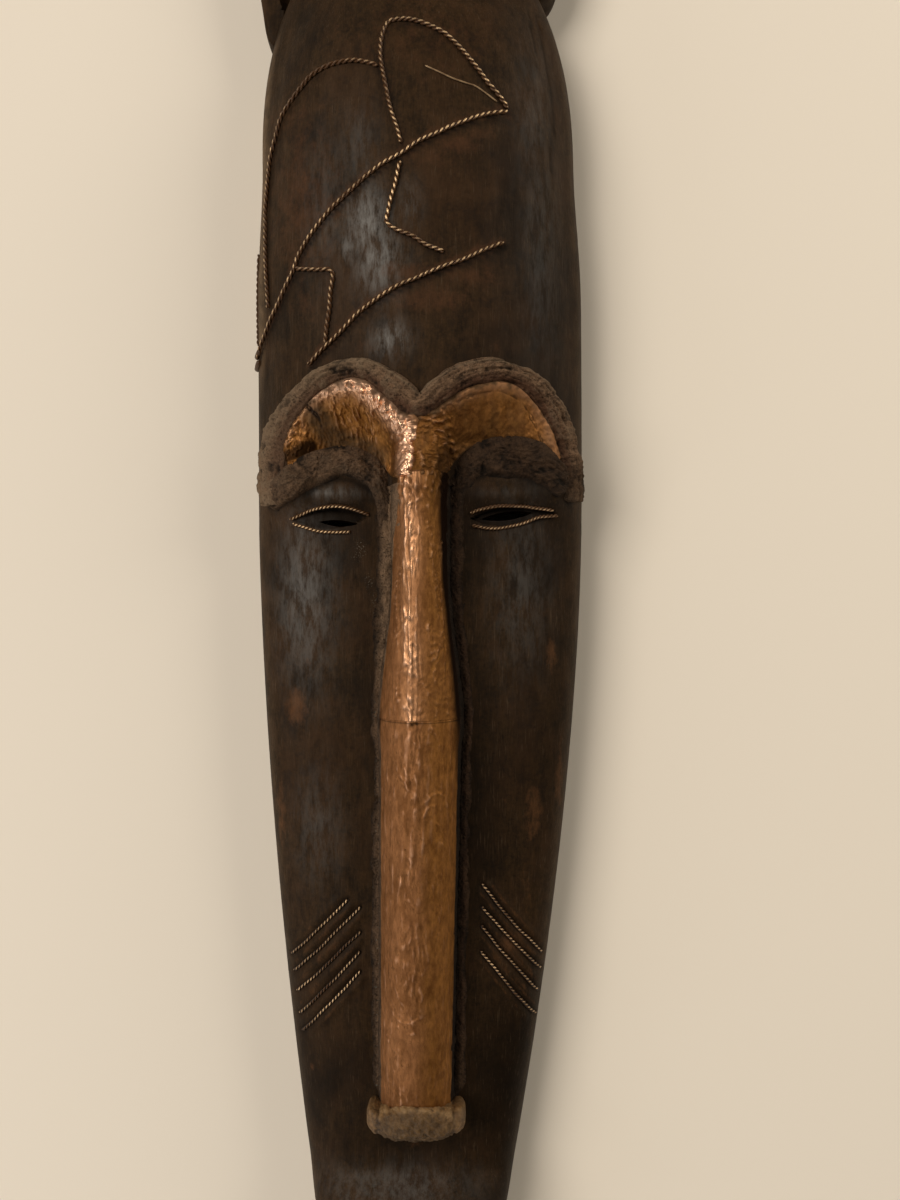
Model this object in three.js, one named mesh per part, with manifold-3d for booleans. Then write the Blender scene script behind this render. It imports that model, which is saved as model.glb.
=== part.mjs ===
// An elongated carved wooden mask with a resin brow, copper sheet over its sockets and nose, and copper wire
// laid on its forehead, eyes and cheeks. It lies face up on the flat rim of its hollow back.
// Millimetres. X runs across the mask, +Y up to its crown and +Z out of its face.
import * as THREE from "three";
import { ParametricGeometry } from "three/addons/geometries/ParametricGeometry.js";
import { mergeVertices } from "three/addons/utils/BufferGeometryUtils.js";
import Module from "manifold-3d";

// Sizes of the wooden body. Y is measured from the middle of the cheeks.
const crownY = 384;
const chinY = -435;
const crownCapStart = 248;
const chinCapStart = -385;
const fullHalfWidth = 93.2;
const upperNarrowing = 3.5;
const lowerTaper = 38.4;
const taperStart = 60;
const taperLength = 403;
const foreheadDepth = 78;
const foreheadCapStart = 230;
const cheekDepth = 52;
const cheekDepthLoss = 6;
const chinSlopeStart = -350;
const muzzleRise = 18;
const muzzleTop = -308;
const wall = 13;

// Sizes of the brow arches, one over each eye.
const archCentreX = 37;
const archCentreY = 50;
const archHalfWidth = 47;
const archHeight = 72;

// Sizes of the nose.
const noseRidge = 81;
const noseRootHalf = 14.3;
const noseWidening = 7.2;
const noseCoreShare = 1.07;
const noseEndY = -268;
const sheetJointY = -63.5;
const sheetEndY = -263;

// Sizes of what lies on the wood.
const gap = 0.3;
const wireGap = 0.5;
const sheetThickness = 1;
const ropeRadius = 1.25;
const fineRopeRadius = 1;
const thinWireRadius = 0.6;
const browRise = 6.5;
const leftBandRise = 5.5;
const rightBandRise = 3;
const browClearance = 0.9;
const seamRise = 1.6;
const seamTopY = 44;
const seamInset = 0.6;
const leftSeamWidth = 9;
const rightSeamWidth = 11;

// Sizes of the eyes and the mouth.
const eyeFloorZ = 48;
const eyeTilt = THREE.MathUtils.degToRad(-12);
const eyeRise = 5.6;
const eyeFall = 5.4;
const mouthFloorZ = 50;
const mouthY = -362;
const lipGap = 3;

// Sizes of the lugs behind the crown.
const lugDepth = 30;
const lugBevel = 3;

const wasm = await Module();
wasm.setup();

const clamp01 = (t) => Math.min(1, Math.max(0, t));
const smooth = (t) => clamp01(t) ** 2 * (3 - 2 * clamp01(t));
const ellipse = (t, power = 2) => (1 - clamp01(Math.abs(t)) ** power) ** (1 / power);
const mix = (a, b, t) => a + (b - a) * t;

// The body's half width at a height, or the hollow's, which is smaller by the inset.
function halfWidth(y, inset = 0) {
  const narrowing = upperNarrowing * smooth((y - 170) / 80);
  const taper = lowerTaper * (Math.max(0, taperStart - y) / taperLength) ** 1.75;
  const crownCap = ellipse(Math.max(0, y - crownCapStart) / (crownY - crownCapStart - inset), 2.3);
  const chinCap = ellipse(Math.max(0, chinCapStart - y) / (chinCapStart - chinY - inset), 2.2);
  return Math.max(0, fullHalfWidth - narrowing - taper - inset) * crownCap * chinCap;
}

// The body bows slightly to one side above and below the eyes.
function centreX(y) {
  return -3.2 * clamp01((y - 60) / 285) ** 2 - 5 * (Math.max(0, -y) / 344) ** 1.5;
}

// The rounded forehead, as if it ran on down over the whole face.
function foreheadHeight(q, y, inset = 0) {
  const cap = ellipse(Math.max(0, y - foreheadCapStart) / (crownY - foreheadCapStart - inset), 2.2);
  return (foreheadDepth - inset) * cap * ellipse(q, 2.3);
}

// The flatter cheeks and chin, as if they ran on up over the whole face.
function faceHeight(q, y, inset = 0) {
  const power = 4 - 1.4 * smooth((-300 - y) / 100);
  const depth = cheekDepth - cheekDepthLoss * clamp01((taperStart - y) / 340) - inset;
  const chinCap = ellipse(Math.max(0, chinSlopeStart - y) / (chinSlopeStart - chinY - inset));
  return depth * chinCap * ellipse(q, power);
}

// 0 in the eye sockets and on the cheeks, 1 on the forehead, with a cove under each brow arch between them.
function foreheadShare(fromCentre, y) {
  const across = Math.abs(fromCentre) - archCentreX;
  const power = across > 0 ? 2 : 2.6;
  const up = Math.max(0, (y - archCentreY) / archHeight);
  const reach = ((Math.abs(across) / archHalfWidth) ** power + up ** power) ** (1 / power);
  return smooth((reach - 0.42) / 0.5) * smooth((y - 38) / 22);
}

// Half the width of the copper on the nose, which swells halfway down.
function sheetHalf(y) {
  const swell = noseWidening * smooth((15 - y) / 85) - 1.3 * smooth((-64 - y) / 20);
  return noseRootHalf + swell - 1.5 * clamp01((-90 - y) / 170);
}

function noseX(y) {
  return 1 - 2.3 * clamp01((-60 - y) / 200);
}

// The height of the carved front over the back rim's plane.
function surfaceHeight(x, y) {
  const fromCentre = x - centreX(y);
  const q = fromCentre / Math.max(halfWidth(y), 1e-6);
  const face = faceHeight(q, y);
  const lid = 5 * Math.exp(-(((Math.abs(fromCentre) - 46) / 20) ** 2) - ((y - 57) / 8) ** 2);
  const muzzleRun = smooth((muzzleTop - y) / 30) * (1 - smooth((-375 - y) / 45));
  const muzzle = muzzleRise * muzzleRun * ellipse(q, 2.6);
  const front = mix(face, foreheadHeight(q, y), foreheadShare(fromCentre, y)) + lid + muzzle;
  const ridge = noseRidge - 9 * clamp01((-110 - y) / 160) ** 1.5 - 12 * smooth((y - 60) / 55);
  const run = smooth((y - noseEndY + 4) / 8) * (1 - smooth((y - 105) / 10));
  const nose = face + (ridge - face) * run * ellipse((x - noseX(y)) / (noseCoreShare * sheetHalf(y)));
  const blend = 3;
  const closeness = Math.max(blend - Math.abs(front - nose), 0) / blend;
  return Math.max(front, nose) + (closeness ** 2 * blend) / 4;
}

// The hollow behind the face, which follows the forehead and the cheeks but not the nose.
function hollowHeight(x, y) {
  const q = (x - centreX(y)) / Math.max(halfWidth(y, wall), 1e-6);
  const share = smooth((y - 75) / 60);
  return mix(faceHeight(q, y, wall), foreheadHeight(q, y, wall), share);
}

// A point held a little off the carved front, measured square to it.
function abovePoint(x, y, lift) {
  const step = 0.5;
  const slopeX = (surfaceHeight(x + step, y) - surfaceHeight(x - step, y)) / (2 * step);
  const slopeY = (surfaceHeight(x, y + step) - surfaceHeight(x, y - step)) / (2 * step);
  const outwards = new THREE.Vector3(-slopeX, -slopeY, 1).normalize();
  return new THREE.Vector3(x, y, surfaceHeight(x, y)).addScaledVector(outwards, lift);
}

// A closed geometry as a solid, without the faces that collapse at a pole and with its faces pointing out.
function toSolid(geometry) {
  const bare = geometry.clone();
  bare.deleteAttribute("normal");
  bare.deleteAttribute("uv");
  const merged = mergeVertices(bare, 1e-4);
  const corners = merged.index.array;
  const kept = [];
  for (let i = 0; i < corners.length; i += 3) {
    const [a, b, c] = corners.slice(i, i + 3);
    if (a !== b && b !== c && c !== a) kept.push(a, b, c);
  }
  const vertProperties = merged.attributes.position.array;
  const made = (triVerts) => new wasm.Manifold(new wasm.Mesh({ numProp: 3, vertProperties, triVerts }));
  const solid = made(new Uint32Array(kept));
  return solid.volume() < 0 ? made(new Uint32Array(kept).reverse()) : solid;
}

function toGeometry(solid) {
  const { vertProperties, triVerts } = solid.getMesh();
  const geometry = new THREE.BufferGeometry();
  geometry.setAttribute("position", new THREE.BufferAttribute(vertProperties, 3));
  geometry.setIndex(new THREE.BufferAttribute(triVerts, 1));
  geometry.computeVertexNormals();
  return geometry;
}

// A cut can leave crumbs at the edges, so only the largest body is kept.
function largestBody(solid) {
  return solid.decompose().reduce((a, b) => (a.volume() > b.volume() ? a : b));
}

// A closed solid over a flat back: each row runs across the top from rim to rim and straight back below.
function shellSolid(rows, columnAt, columnCount, heightAt, floorZ) {
  function pointAt(u, v, target) {
    const y = rows[Math.round(v * (rows.length - 1))];
    const column = Math.round(u * columnCount) % columnCount;
    const x = columnAt(column, y);
    const onRim = column === 0 || column === columnCount - 1;
    target.set(x, y, onRim ? floorZ : Math.max(floorZ, heightAt(x, y)));
  }
  return toSolid(new ParametricGeometry(pointAt, columnCount, rows.length - 1));
}

// Values from one number to another in equal steps, without the last one.
function steps(from, to, count) {
  return Array.from({ length: count }, (_, i) => mix(from, to, i / count));
}

// Rows close together at a rounded end, as equal angles of its ellipse give.
function capRows(tip, start, count) {
  return steps(0, Math.PI / 2, count).map((angle) => mix(start, tip, Math.cos(angle)));
}

const bodyRows = [
  ...capRows(crownY, crownCapStart, 8),
  ...steps(crownCapStart, 126, 6),
  ...steps(126, 36, 16),
  ...steps(36, -250, 11),
  ...steps(-250, -286, 4),
  ...steps(-286, chinCapStart, 7),
  ...capRows(chinY, chinCapStart, 5),
].sort((a, b) => b - a);

const noseColumns = [-1, -0.85, -0.5, 0, 0.5, 0.85, 1];
const sideColumns = [0.11, 0.24, 0.37, 0.5, 0.63, 0.75, 0.86, 0.94, 0.985, 1];

// The body's columns follow the nose in the middle and spread to the rim on both sides.
function bodyColumn(index, y) {
  const half = halfWidth(y);
  const core = Math.min(noseCoreShare * sheetHalf(y), half * 0.35);
  const middle = Math.min(Math.abs(noseX(y)), half * 0.02) * Math.sign(noseX(y));
  const fromLeft = index - sideColumns.length;
  if (fromLeft >= 0 && fromLeft < noseColumns.length) return middle + core * noseColumns[fromLeft];
  const side = fromLeft < 0 ? -1 : 1;
  const place = side < 0 ? -fromLeft - 1 : fromLeft - noseColumns.length;
  return mix(middle + side * core, centreX(y) + side * half, sideColumns[place]);
}

function hollowColumn(index, y) {
  const angle = (index / (hollowColumnCount - 1)) * Math.PI;
  return centreX(y) - Math.cos(angle) * halfWidth(y, wall);
}

const bodyColumnCount = noseColumns.length + 2 * sideColumns.length;
const hollowColumnCount = 13;
const hollowRows = [
  ...capRows(crownY - wall, crownCapStart, 6),
  ...steps(crownCapStart, 150, 2),
  ...steps(150, 70, 4),
  ...steps(70, chinCapStart, 7),
  ...capRows(chinY + wall, chinCapStart, 4),
].sort((a, b) => b - a);

// A flat outline made thick, with its underside at a height.
function plate(points, depth, bottom, bevel = 0) {
  const shape = new THREE.Shape(points.map(([x, y]) => new THREE.Vector2(x, y)));
  const geometry = new THREE.ExtrudeGeometry(shape, {
    depth: depth - 2 * bevel,
    bevelEnabled: bevel > 0,
    bevelSize: bevel,
    bevelThickness: bevel,
    bevelSegments: 1,
  });
  return geometry.translate(0, 0, bottom + bevel);
}

// A pointed oval with its own rise above and below the line between its corners.
function almond(left, right, riseUp, riseDown, count) {
  const points = [];
  for (let i = 0; i < count; i += 1) {
    const t = i / count;
    points.push([mix(left[0], right[0], t), mix(left[1], right[1], t) - riseDown * Math.sin(Math.PI * t) ** 0.8]);
  }
  for (let i = 0; i < count; i += 1) {
    const t = 1 - i / count;
    points.push([mix(left[0], right[0], t), mix(left[1], right[1], t) + riseUp * Math.sin(Math.PI * t) ** 0.8]);
  }
  return points;
}

// The eye's sunk almond, deeper under the upper lid, and the slit through it.
function eyeCut(left, right, slit) {
  const middleY = (left[1] + right[1]) / 2;
  const sunk = plate(almond(left, right, eyeRise, eyeFall, 7), 30, 0);
  sunk.translate(0, -middleY, 0).rotateX(eyeTilt).translate(0, middleY, eyeFloorZ);
  const through = plate(almond(slit.left, slit.right, slit.up, slit.down, 5), 80, -5);
  return toSolid(sunk).add(toSolid(through));
}

// A lug is a short blunt ear with a flat back and a scooped front.
function lug(outline, scoop) {
  const blank = toSolid(plate(outline, lugDepth, 0, lugBevel));
  const bowl = new THREE.SphereGeometry(1, 10, 6).scale(scoop.halfWidth, scoop.halfHeight, scoop.depth);
  bowl.translate(scoop.x, scoop.y, lugDepth + 3);
  return blank.subtract(toSolid(bowl));
}

const leftLugOutline = [
  [-58, 317], [-81, 317], [-84, 320], [-87, 339], [-91, 365], [-92, 392], [-86, 414], [-76, 424], [-65, 420],
  [-56, 404], [-48, 380], [-44, 350],
];
const rightLugOutline = [
  [46, 350], [52, 339], [66, 342], [75, 352], [80, 374], [81, 398], [77, 416], [68, 426], [57, 422], [48, 405],
  [42, 380],
];
const leftLug = lug(leftLugOutline, { x: -71, y: 368, halfWidth: 12, halfHeight: 40, depth: 17 });
const rightLug = lug(rightLugOutline, { x: 63, y: 386, halfWidth: 10, halfHeight: 32, depth: 17 });

function makeBody() {
  const outside = shellSolid(bodyRows, bodyColumn, bodyColumnCount, surfaceHeight, 0);
  const hollow = shellSolid(hollowRows, hollowColumn, hollowColumnCount, hollowHeight, -5);
  const leftEye = eyeCut([-68, 43.5], [-29, 45], { left: [-54, 42.5], right: [-33, 41.2], up: 1.6, down: 2 });
  const rightEye = eyeCut([29, 44], [74, 47], { left: [34, 44], right: [62, 47.5], up: 2.4, down: 2.4 });
  const mouth = toSolid(plate(almond([-30, mouthY], [20, mouthY], lipGap, lipGap, 6), 40, mouthFloorZ));
  const blank = outside.add(leftLug).add(rightLug).subtract(hollow);
  return largestBody(blank.subtract(leftEye).subtract(rightEye).subtract(mouth));
}

const body = makeBody();
const raisedBody = toSolid(toGeometry(body).translate(0, 0, gap));

// The two edges of a band from the points of its middle line, each with the band's width there.
function bandEdges(middle) {
  const left = [];
  const right = [];
  middle.forEach(([x, y, width], i) => {
    const before = middle[Math.max(0, i - 1)];
    const after = middle[Math.min(middle.length - 1, i + 1)];
    const along = new THREE.Vector2(after[0] - before[0], after[1] - before[1]).normalize();
    left.push([x - (along.y * width) / 2, y + (along.x * width) / 2]);
    right.push([x + (along.y * width) / 2, y - (along.x * width) / 2]);
  });
  return [left, right];
}

// The two edges of a strip down the nose, at shares of the sheet's half width or at a distance from it.
function noseEdges(top, bottom, count, leftAt, rightAt) {
  const heights = [...steps(top, bottom, count), bottom];
  return [heights.map((y) => [leftAt(y), y]), heights.map((y) => [rightAt(y), y])];
}

// A layer that lies on the body between two edges, with its own rise across its width and its underside sunk
// into the wood, where the body is then cut away from it.
function layer([edgeA, edgeB], along, across, rise, spread = 0) {
  const curves = [edgeA, edgeB].map(
    (edge) => new THREE.CatmullRomCurve3(edge.map(([x, y]) => new THREE.Vector3(x, y, 0)), false, "centripetal"),
  );
  const loop = 2 * across + 2;
  const sink = 2.5;
  const sectionPoint = (t, j) => {
    const onTop = j <= across;
    const s = ((onTop ? j : loop - 1 - j) / across) * 2 - 1;
    const [a, b] = curves.map((curve) => curve.getPoint(t));
    const half = a.distanceTo(b) / 2;
    const place = a.lerp(b, (s * (1 + spread / half) + 1) / 2);
    return abovePoint(place.x, place.y, onTop ? gap + spread + rise(s, t) : -sink);
  };
  const topMiddle = Math.floor(across / 2);
  const bottomMiddle = across + 1 + Math.ceil(across / 2);
  function pointAt(u, v, target) {
    const row = Math.round(v * (along + 2));
    const t = clamp01((row - 1) / along);
    if (row === 0 || row === along + 2) {
      target.copy(sectionPoint(t, topMiddle)).lerp(sectionPoint(t, bottomMiddle), 0.5);
    } else {
      target.copy(sectionPoint(t, Math.round(u * loop) % loop));
    }
  }
  return toSolid(new ParametricGeometry(pointAt, loop, along + 2));
}

const roundRise = (height) => (s) => height * Math.sqrt(Math.max(0, 1 - s * s));
const flatRise = (height) => () => height;

// The brow ridge from the outer corner of the left eye over both arches to that of the right eye.
const browLine = [
  [-78, 52, 12], [-80, 66, 13], [-78, 83, 14], [-71.5, 96, 13], [-62, 107, 12], [-50, 116, 11], [-37, 120, 10],
  [-24, 118, 12], [-12, 110, 14], [0.5, 101, 14], [12, 109, 14], [24, 116, 14], [38, 119, 13], [51, 118, 12],
  [62, 112, 12], [71, 101, 13], [77.5, 88, 12], [81.5, 74, 12], [83, 60, 9],
];
const leftBandLine = [
  [-78, 60, 15], [-68, 64, 16], [-58, 69.5, 16], [-48, 73, 16], [-38, 74, 17], [-28, 71, 17], [-21, 67, 9],
];
const rightBandLine = [
  [22, 69, 10], [30, 74, 16], [40, 77, 20], [51, 77, 21], [61, 75, 21], [70, 70, 19], [79, 63, 12],
];

function resinBrow(spread) {
  const ridge = layer(bandEdges(browLine), 26, 4, roundRise(browRise), spread);
  const leftBand = layer(bandEdges(leftBandLine), 7, 4, roundRise(leftBandRise), spread);
  const rightBand = layer(bandEdges(rightBandLine), 7, 4, roundRise(rightBandRise), spread);
  return ridge.add(leftBand).add(rightBand);
}

// The socket sheets run from the ridge's lower edge to the lower band and the root of the nose.
const leftSocketEdges = [
  [[-74, 79], [-69, 91], [-61, 102], [-50, 111], [-36, 116], [-24, 113], [-14, 104], [-6, 97], [1.5, 95]],
  [[-70, 70], [-62, 74], [-54, 77], [-46, 79], [-37, 80], [-27, 78], [-19, 72], [-11, 66], [1.5, 66]],
];
const rightSocketEdges = [
  [[2.5, 95], [9, 99], [18, 107], [29, 112], [41, 115], [53, 112.5], [63, 103], [71, 91], [77, 76]],
  [[2.5, 66], [12, 66], [18, 74], [27, 81], [38, 85], [49, 86], [60, 84], [68, 79], [74, 71]],
];

const brow = resinBrow(0);
const browRoom = resinBrow(browClearance);
const sheetSide = (side, share = 1) => (y) => noseX(y) + side * sheetHalf(y) * share;
const seamSide = (side, distance) => (y) => noseX(y) + side * (sheetHalf(y) + distance);

function socketSheet(edges) {
  return layer(edges, 11, 3, flatRise(sheetThickness)).subtract(browRoom);
}

function noseSheet(top, bottom, count) {
  const edges = noseEdges(top, bottom, count, sheetSide(-1), sheetSide(1));
  return layer(edges, count, 6, flatRise(sheetThickness)).subtract(browRoom);
}

function noseSeam(side, width) {
  const sides = [seamSide(side, width), seamSide(side, seamInset)];
  const [leftAt, rightAt] = side < 0 ? sides : sides.reverse();
  const edges = noseEdges(seamTopY, noseEndY + 8, 8, leftAt, rightAt);
  return layer(edges, 9, 2, roundRise(seamRise)).subtract(browRoom);
}

// The roll at the end of the nose: a lobe on each side and a bulge in front between them. The room that the
// copper leaves round it is the same roll, a little larger.
const rollCentre = new THREE.Vector3(-1.5, -278, 58);
const rollLobes = [
  { x: -20, y: -273, z: 57, halfWidth: 9, halfLength: 9.5, halfDepth: 11 },
  { x: 17, y: -273, z: 57, halfWidth: 9, halfLength: 9.5, halfDepth: 11 },
  { x: -1.5, y: -280, z: 60, halfWidth: 23, halfLength: 13, halfDepth: 15 },
];

function noseRoll(growth) {
  const { x: middleX, y: middleY, z: middleZ } = rollCentre;
  const lobes = rollLobes.map((lobe) => {
    const ball = new THREE.SphereGeometry(1, 10, 7).rotateX(Math.PI / 2);
    ball.scale(lobe.halfWidth, lobe.halfLength, lobe.halfDepth).translate(lobe.x, lobe.y, lobe.z);
    ball.translate(-middleX, -middleY, -middleZ).scale(growth, growth, growth);
    return toSolid(ball.translate(middleX, middleY, middleZ));
  });
  return lobes[0].add(lobes[1]).add(lobes[2]);
}

const roll = noseRoll(1);
const rollRoom = noseRoll(1.05);

// A wire laid on the carved front along a line through the given places.
function wire(places, radius, spacing) {
  const points = places.map(([x, y]) => new THREE.Vector3(x, y, 0));
  const flat = new THREE.CatmullRomCurve3(points, false, "centripetal");
  const count = Math.max(3, Math.round(flat.getLength() / spacing));
  const laid = flat.getSpacedPoints(count).map((p) => abovePoint(p.x, p.y, radius + wireGap));
  const sides = 5;
  const section = steps(0, 2 * Math.PI, sides).map(
    (angle) => new THREE.Vector2(radius * Math.cos(angle), radius * Math.sin(angle)),
  );
  const extrudePath = new THREE.CatmullRomCurve3(laid, false, "centripetal");
  return toSolid(new THREE.ExtrudeGeometry(new THREE.Shape(section), { steps: count, extrudePath }));
}

const forehead = {
  crest_loop_wire: [
    [46, 260.5], [41.5, 265.5], [37.5, 269.5], [33, 275], [29.5, 279.5], [25, 285], [20, 290.5], [14, 296],
    [8, 299.5], [1.5, 302.5], [-5, 304], [-10, 304], [-14.5, 303], [-17, 299.5], [-19, 293], [-19.5, 285],
    [-18.5, 277.5], [-16, 265.5], [-14, 255.5], [-11.5, 247], [-8.7, 236],
  ],
  neck_wire: [
    [-9, 226.5], [-10, 223], [-12, 213.5], [-15, 200.5], [-15.5, 195.5], [-11.5, 192], [-3, 188.5], [5, 183.5],
    [13.5, 180],
  ],
  long_diagonal_wire: [
    [46.5, 257], [37.5, 254], [26.5, 249.5], [14, 243.5], [2.5, 238], [-7, 232], [-16.5, 226.5], [-26.5, 220],
    [-36.5, 211.5], [-47, 203], [-56, 193.5], [-63, 184], [-66.5, 176], [-73, 166], [-78, 158], [-82.5, 151.5],
    [-88, 143], [-91, 136],
  ],
  outer_loop_wire: [
    [-22.5, 278.5], [-32.5, 282], [-40, 282], [-48.5, 281], [-56.5, 278], [-62, 274], [-68.5, 268.5],
    [-74.5, 262.5], [-78.5, 254], [-82, 246], [-85, 232.5], [-86.5, 218], [-86.5, 205], [-86, 192], [-85, 175],
    [-83.5, 161],
  ],
  bracket_wire: [
    [-61.5, 176], [-54, 174], [-47, 173], [-44.5, 170.5], [-44.5, 166], [-45.5, 158.5], [-46.5, 149],
    [-47.8, 138.5],
  ],
  lower_diagonal_wire: [
    [44.5, 187], [33, 181.5], [22, 176], [11, 171.5], [0, 167], [-11.5, 161.5], [-22.5, 155], [-32.5, 147.5],
    [-41, 139], [-51, 130.5], [-57.5, 124.5],
  ],
  left_side_wire: [[-91, 196], [-92, 186], [-92.1, 170], [-92.1, 156], [-91.8, 144]],
};
const thinInner = [[4, 277.5], [10.5, 274.5], [18.5, 271], [25.5, 269], [31, 267.5], [38.5, 263]];
const eyes = {
  left_upper_eye_wire: [[-70, 44], [-64.5, 46.2], [-57, 49.2], [-46, 51], [-36.5, 49.5], [-27, 46]],
  left_lower_eye_wire: [[-68.5, 41.5], [-64, 40], [-57, 38], [-51, 37.2], [-44, 37], [-37, 37]],
  right_upper_eye_wire: [[28, 47], [33, 49.2], [41, 50.8], [55, 51], [62.5, 50.5], [73, 49]],
  right_lower_eye_wire: [[29, 40.5], [36.5, 39], [43.5, 39], [51.5, 40.5], [59, 42.4], [66.5, 45.2], [75.5, 46.5]],
};
const leftCheek = [
  [[-71.5, -197.5], [-39, -163.5]],
  [[-69.5, -206.5], [-32, -167.5]],
  [[-68, -217.5], [-32, -181]],
  [[-66.5, -230], [-32, -192]],
  [[-65, -239.5], [-32, -203]],
];
const rightCheek = [
  [[34.5, -155], [43, -166], [54, -179.5], [60.5, -187], [68.5, -197]],
  [[34.5, -167.5], [68, -206.5]],
  [[34, -178], [66.5, -219]],
  [[34, -192], [65, -232.5]],
];

const wood = () => new THREE.MeshStandardMaterial({ color: 0x33271d, roughness: 0.55, metalness: 0 });
const resin = () => new THREE.MeshStandardMaterial({ color: 0x4f3a28, roughness: 0.9, metalness: 0 });
const copperSheet = () => new THREE.MeshStandardMaterial({ color: 0xa9673c, roughness: 0.4, metalness: 1 });
const copperWire = () => new THREE.MeshStandardMaterial({ color: 0x8f6238, roughness: 0.5, metalness: 1 });

const mask = new THREE.Group();

function place(name, solid, material) {
  const mesh = new THREE.Mesh(toGeometry(largestBody(solid)), material);
  mesh.name = name;
  mask.add(mesh);
}

const laid = (solid) => solid.subtract(raisedBody);

place("mask_body", body, wood());
place("brow_resin", laid(brow), resin());
place("left_socket_copper", laid(socketSheet(leftSocketEdges)), copperSheet());
place("right_socket_copper", laid(socketSheet(rightSocketEdges)), copperSheet());
place("upper_nose_copper", laid(noseSheet(65.2, sheetJointY + 0.3, 8)), copperSheet());
place("lower_nose_copper", laid(noseSheet(sheetJointY - 0.3, sheetEndY, 9).subtract(rollRoom)), copperSheet());
place("left_nose_resin", laid(noseSeam(-1, leftSeamWidth)), resin());
place("right_nose_resin", laid(noseSeam(1, rightSeamWidth)), resin());
place("nose_tip_resin", laid(roll), resin());

const placeWire = (name, places, radius, spacing) => place(name, wire(places, radius, spacing), copperWire());
Object.entries(forehead).forEach(([name, places]) => placeWire(name, places, ropeRadius, 9));
placeWire("thin_inner_wire", thinInner, thinWireRadius, 8);
Object.entries(eyes).forEach(([name, places]) => placeWire(name, places, fineRopeRadius, 6));
leftCheek.forEach((places, i) => placeWire(`left_cheek_wire_${i + 1}`, places, fineRopeRadius, 10));
rightCheek.forEach((places, i) => placeWire(`right_cheek_wire_${i + 1}`, places, fineRopeRadius, 10));

// The origin is under the middle of the mask, on the plane that its back rim lies on.
const bounds = new THREE.Box3().setFromObject(mask);
const middle = bounds.getCenter(new THREE.Vector3());
mask.position.set(-middle.x, -middle.y, -bounds.min.z);

const part = new THREE.Group();
part.add(mask);

export default part;
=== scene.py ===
import math
import bpy
import numpy as np
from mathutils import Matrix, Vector


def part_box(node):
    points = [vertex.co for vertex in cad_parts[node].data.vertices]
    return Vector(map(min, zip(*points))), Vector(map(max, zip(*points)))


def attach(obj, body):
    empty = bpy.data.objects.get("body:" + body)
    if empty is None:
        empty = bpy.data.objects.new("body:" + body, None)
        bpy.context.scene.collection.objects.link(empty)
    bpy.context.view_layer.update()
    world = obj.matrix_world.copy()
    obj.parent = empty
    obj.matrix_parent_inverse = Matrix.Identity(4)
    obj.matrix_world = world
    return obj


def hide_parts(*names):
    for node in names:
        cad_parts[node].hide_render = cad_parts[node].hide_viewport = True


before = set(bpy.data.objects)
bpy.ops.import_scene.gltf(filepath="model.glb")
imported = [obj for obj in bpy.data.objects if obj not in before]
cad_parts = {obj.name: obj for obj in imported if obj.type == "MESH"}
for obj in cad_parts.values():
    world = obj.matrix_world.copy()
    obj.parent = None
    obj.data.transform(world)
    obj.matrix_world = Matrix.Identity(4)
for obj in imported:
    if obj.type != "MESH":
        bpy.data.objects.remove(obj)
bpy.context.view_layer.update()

# A long carved mask lying on its back: dark worn wood, rough resin, crumpled copper sheet, twisted copper
# wire. Sizes are millimetres in the carver's frame: X across, Y up from mid-cheek, Z out of the face.

# Camera, lights and room, in metres

view = {"place": (0.0179, 0.0027, 0.595), "lens": 30, "sensor": 36, "nearest": 0.01}
lights = {
    "keyLight": ((-2.4, 1.28, 3.5), (2.5, 2.5), 138, (1.0, 0.91, 0.79)),  # place, size, power, colour
    "roomLight": ((2.0, 1.1, 1.3), (1.2, 1.6), 30, (1.0, 0.92, 0.79)),
    "windowLight": ((-1.7, -0.7, 0.75), (1.2, 0.8), 5, (0.86, 0.92, 1.0)),
    "lowLight": ((-0.6, -1.9, 0.6), (1.6, 0.9), 9, (1.0, 0.90, 0.76)),
}
room = {"aim": (0, 0.02, 0), "colour": (1.0, 0.86, 0.68, 1), "strength": 0.075}


# Puts a camera, a lamp or a mesh into the scene.
def addObject(name, data):
    made = bpy.data.objects.new(name, data)
    bpy.context.scene.collection.objects.link(made)
    return made


# A soft rectangle of light, turned so that it shines along the line from its place to the mask.
def addLight(name, place, size, power, tint):
    lamp = bpy.data.lights.new(name, "AREA")
    lamp.shape = "RECTANGLE"
    lamp.size, lamp.size_y = size
    lamp.energy = power
    lamp.color = tint
    light = addObject(name, lamp)
    light.location = place
    light.rotation_euler = (Vector(room["aim"]) - Vector(place)).to_track_quat("-Z", "Y").to_euler()


camera = addObject("camera", bpy.data.cameras.new("camera"))
camera.location = view["place"]
camera.data.sensor_fit = "VERTICAL"
camera.data.sensor_height = view["sensor"]
camera.data.lens = view["lens"]
camera.data.clip_start = view["nearest"]
bpy.context.scene.camera = camera
for name, settings in lights.items():
    addLight(name, *settings)

world = bpy.data.worlds.new("paleRoom")
world.use_nodes = True
background = world.node_tree.nodes["Background"].inputs
background["Color"].default_value = room["colour"]
background["Strength"].default_value = room["strength"]
bpy.context.scene.world = world
bpy.context.scene.view_settings.view_transform = "Standard"
print("camera and lights ready")

# Arrays, noise and smooth lines


# A value held between 0 and 1.
def clamp01(t):
    return np.clip(t, 0.0, 1.0)


# An S-shaped run from 0 to 1: 3tt - 2ttt.
def smooth(t):
    t = clamp01(t)
    return t * t * (3 - 2 * t)


# A straight run from a to b as t goes from 0 to 1.
def mix(a, b, t):
    return a + (b - a) * t


# A round hump, 1 in the middle and 0 from -1 and 1 outwards: a circle's arc for power 2, squarer above it.
def ellipse(t, power=2.0):
    return np.maximum(0, 1 - clamp01(np.abs(t)) ** power) ** (1 / power)


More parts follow.
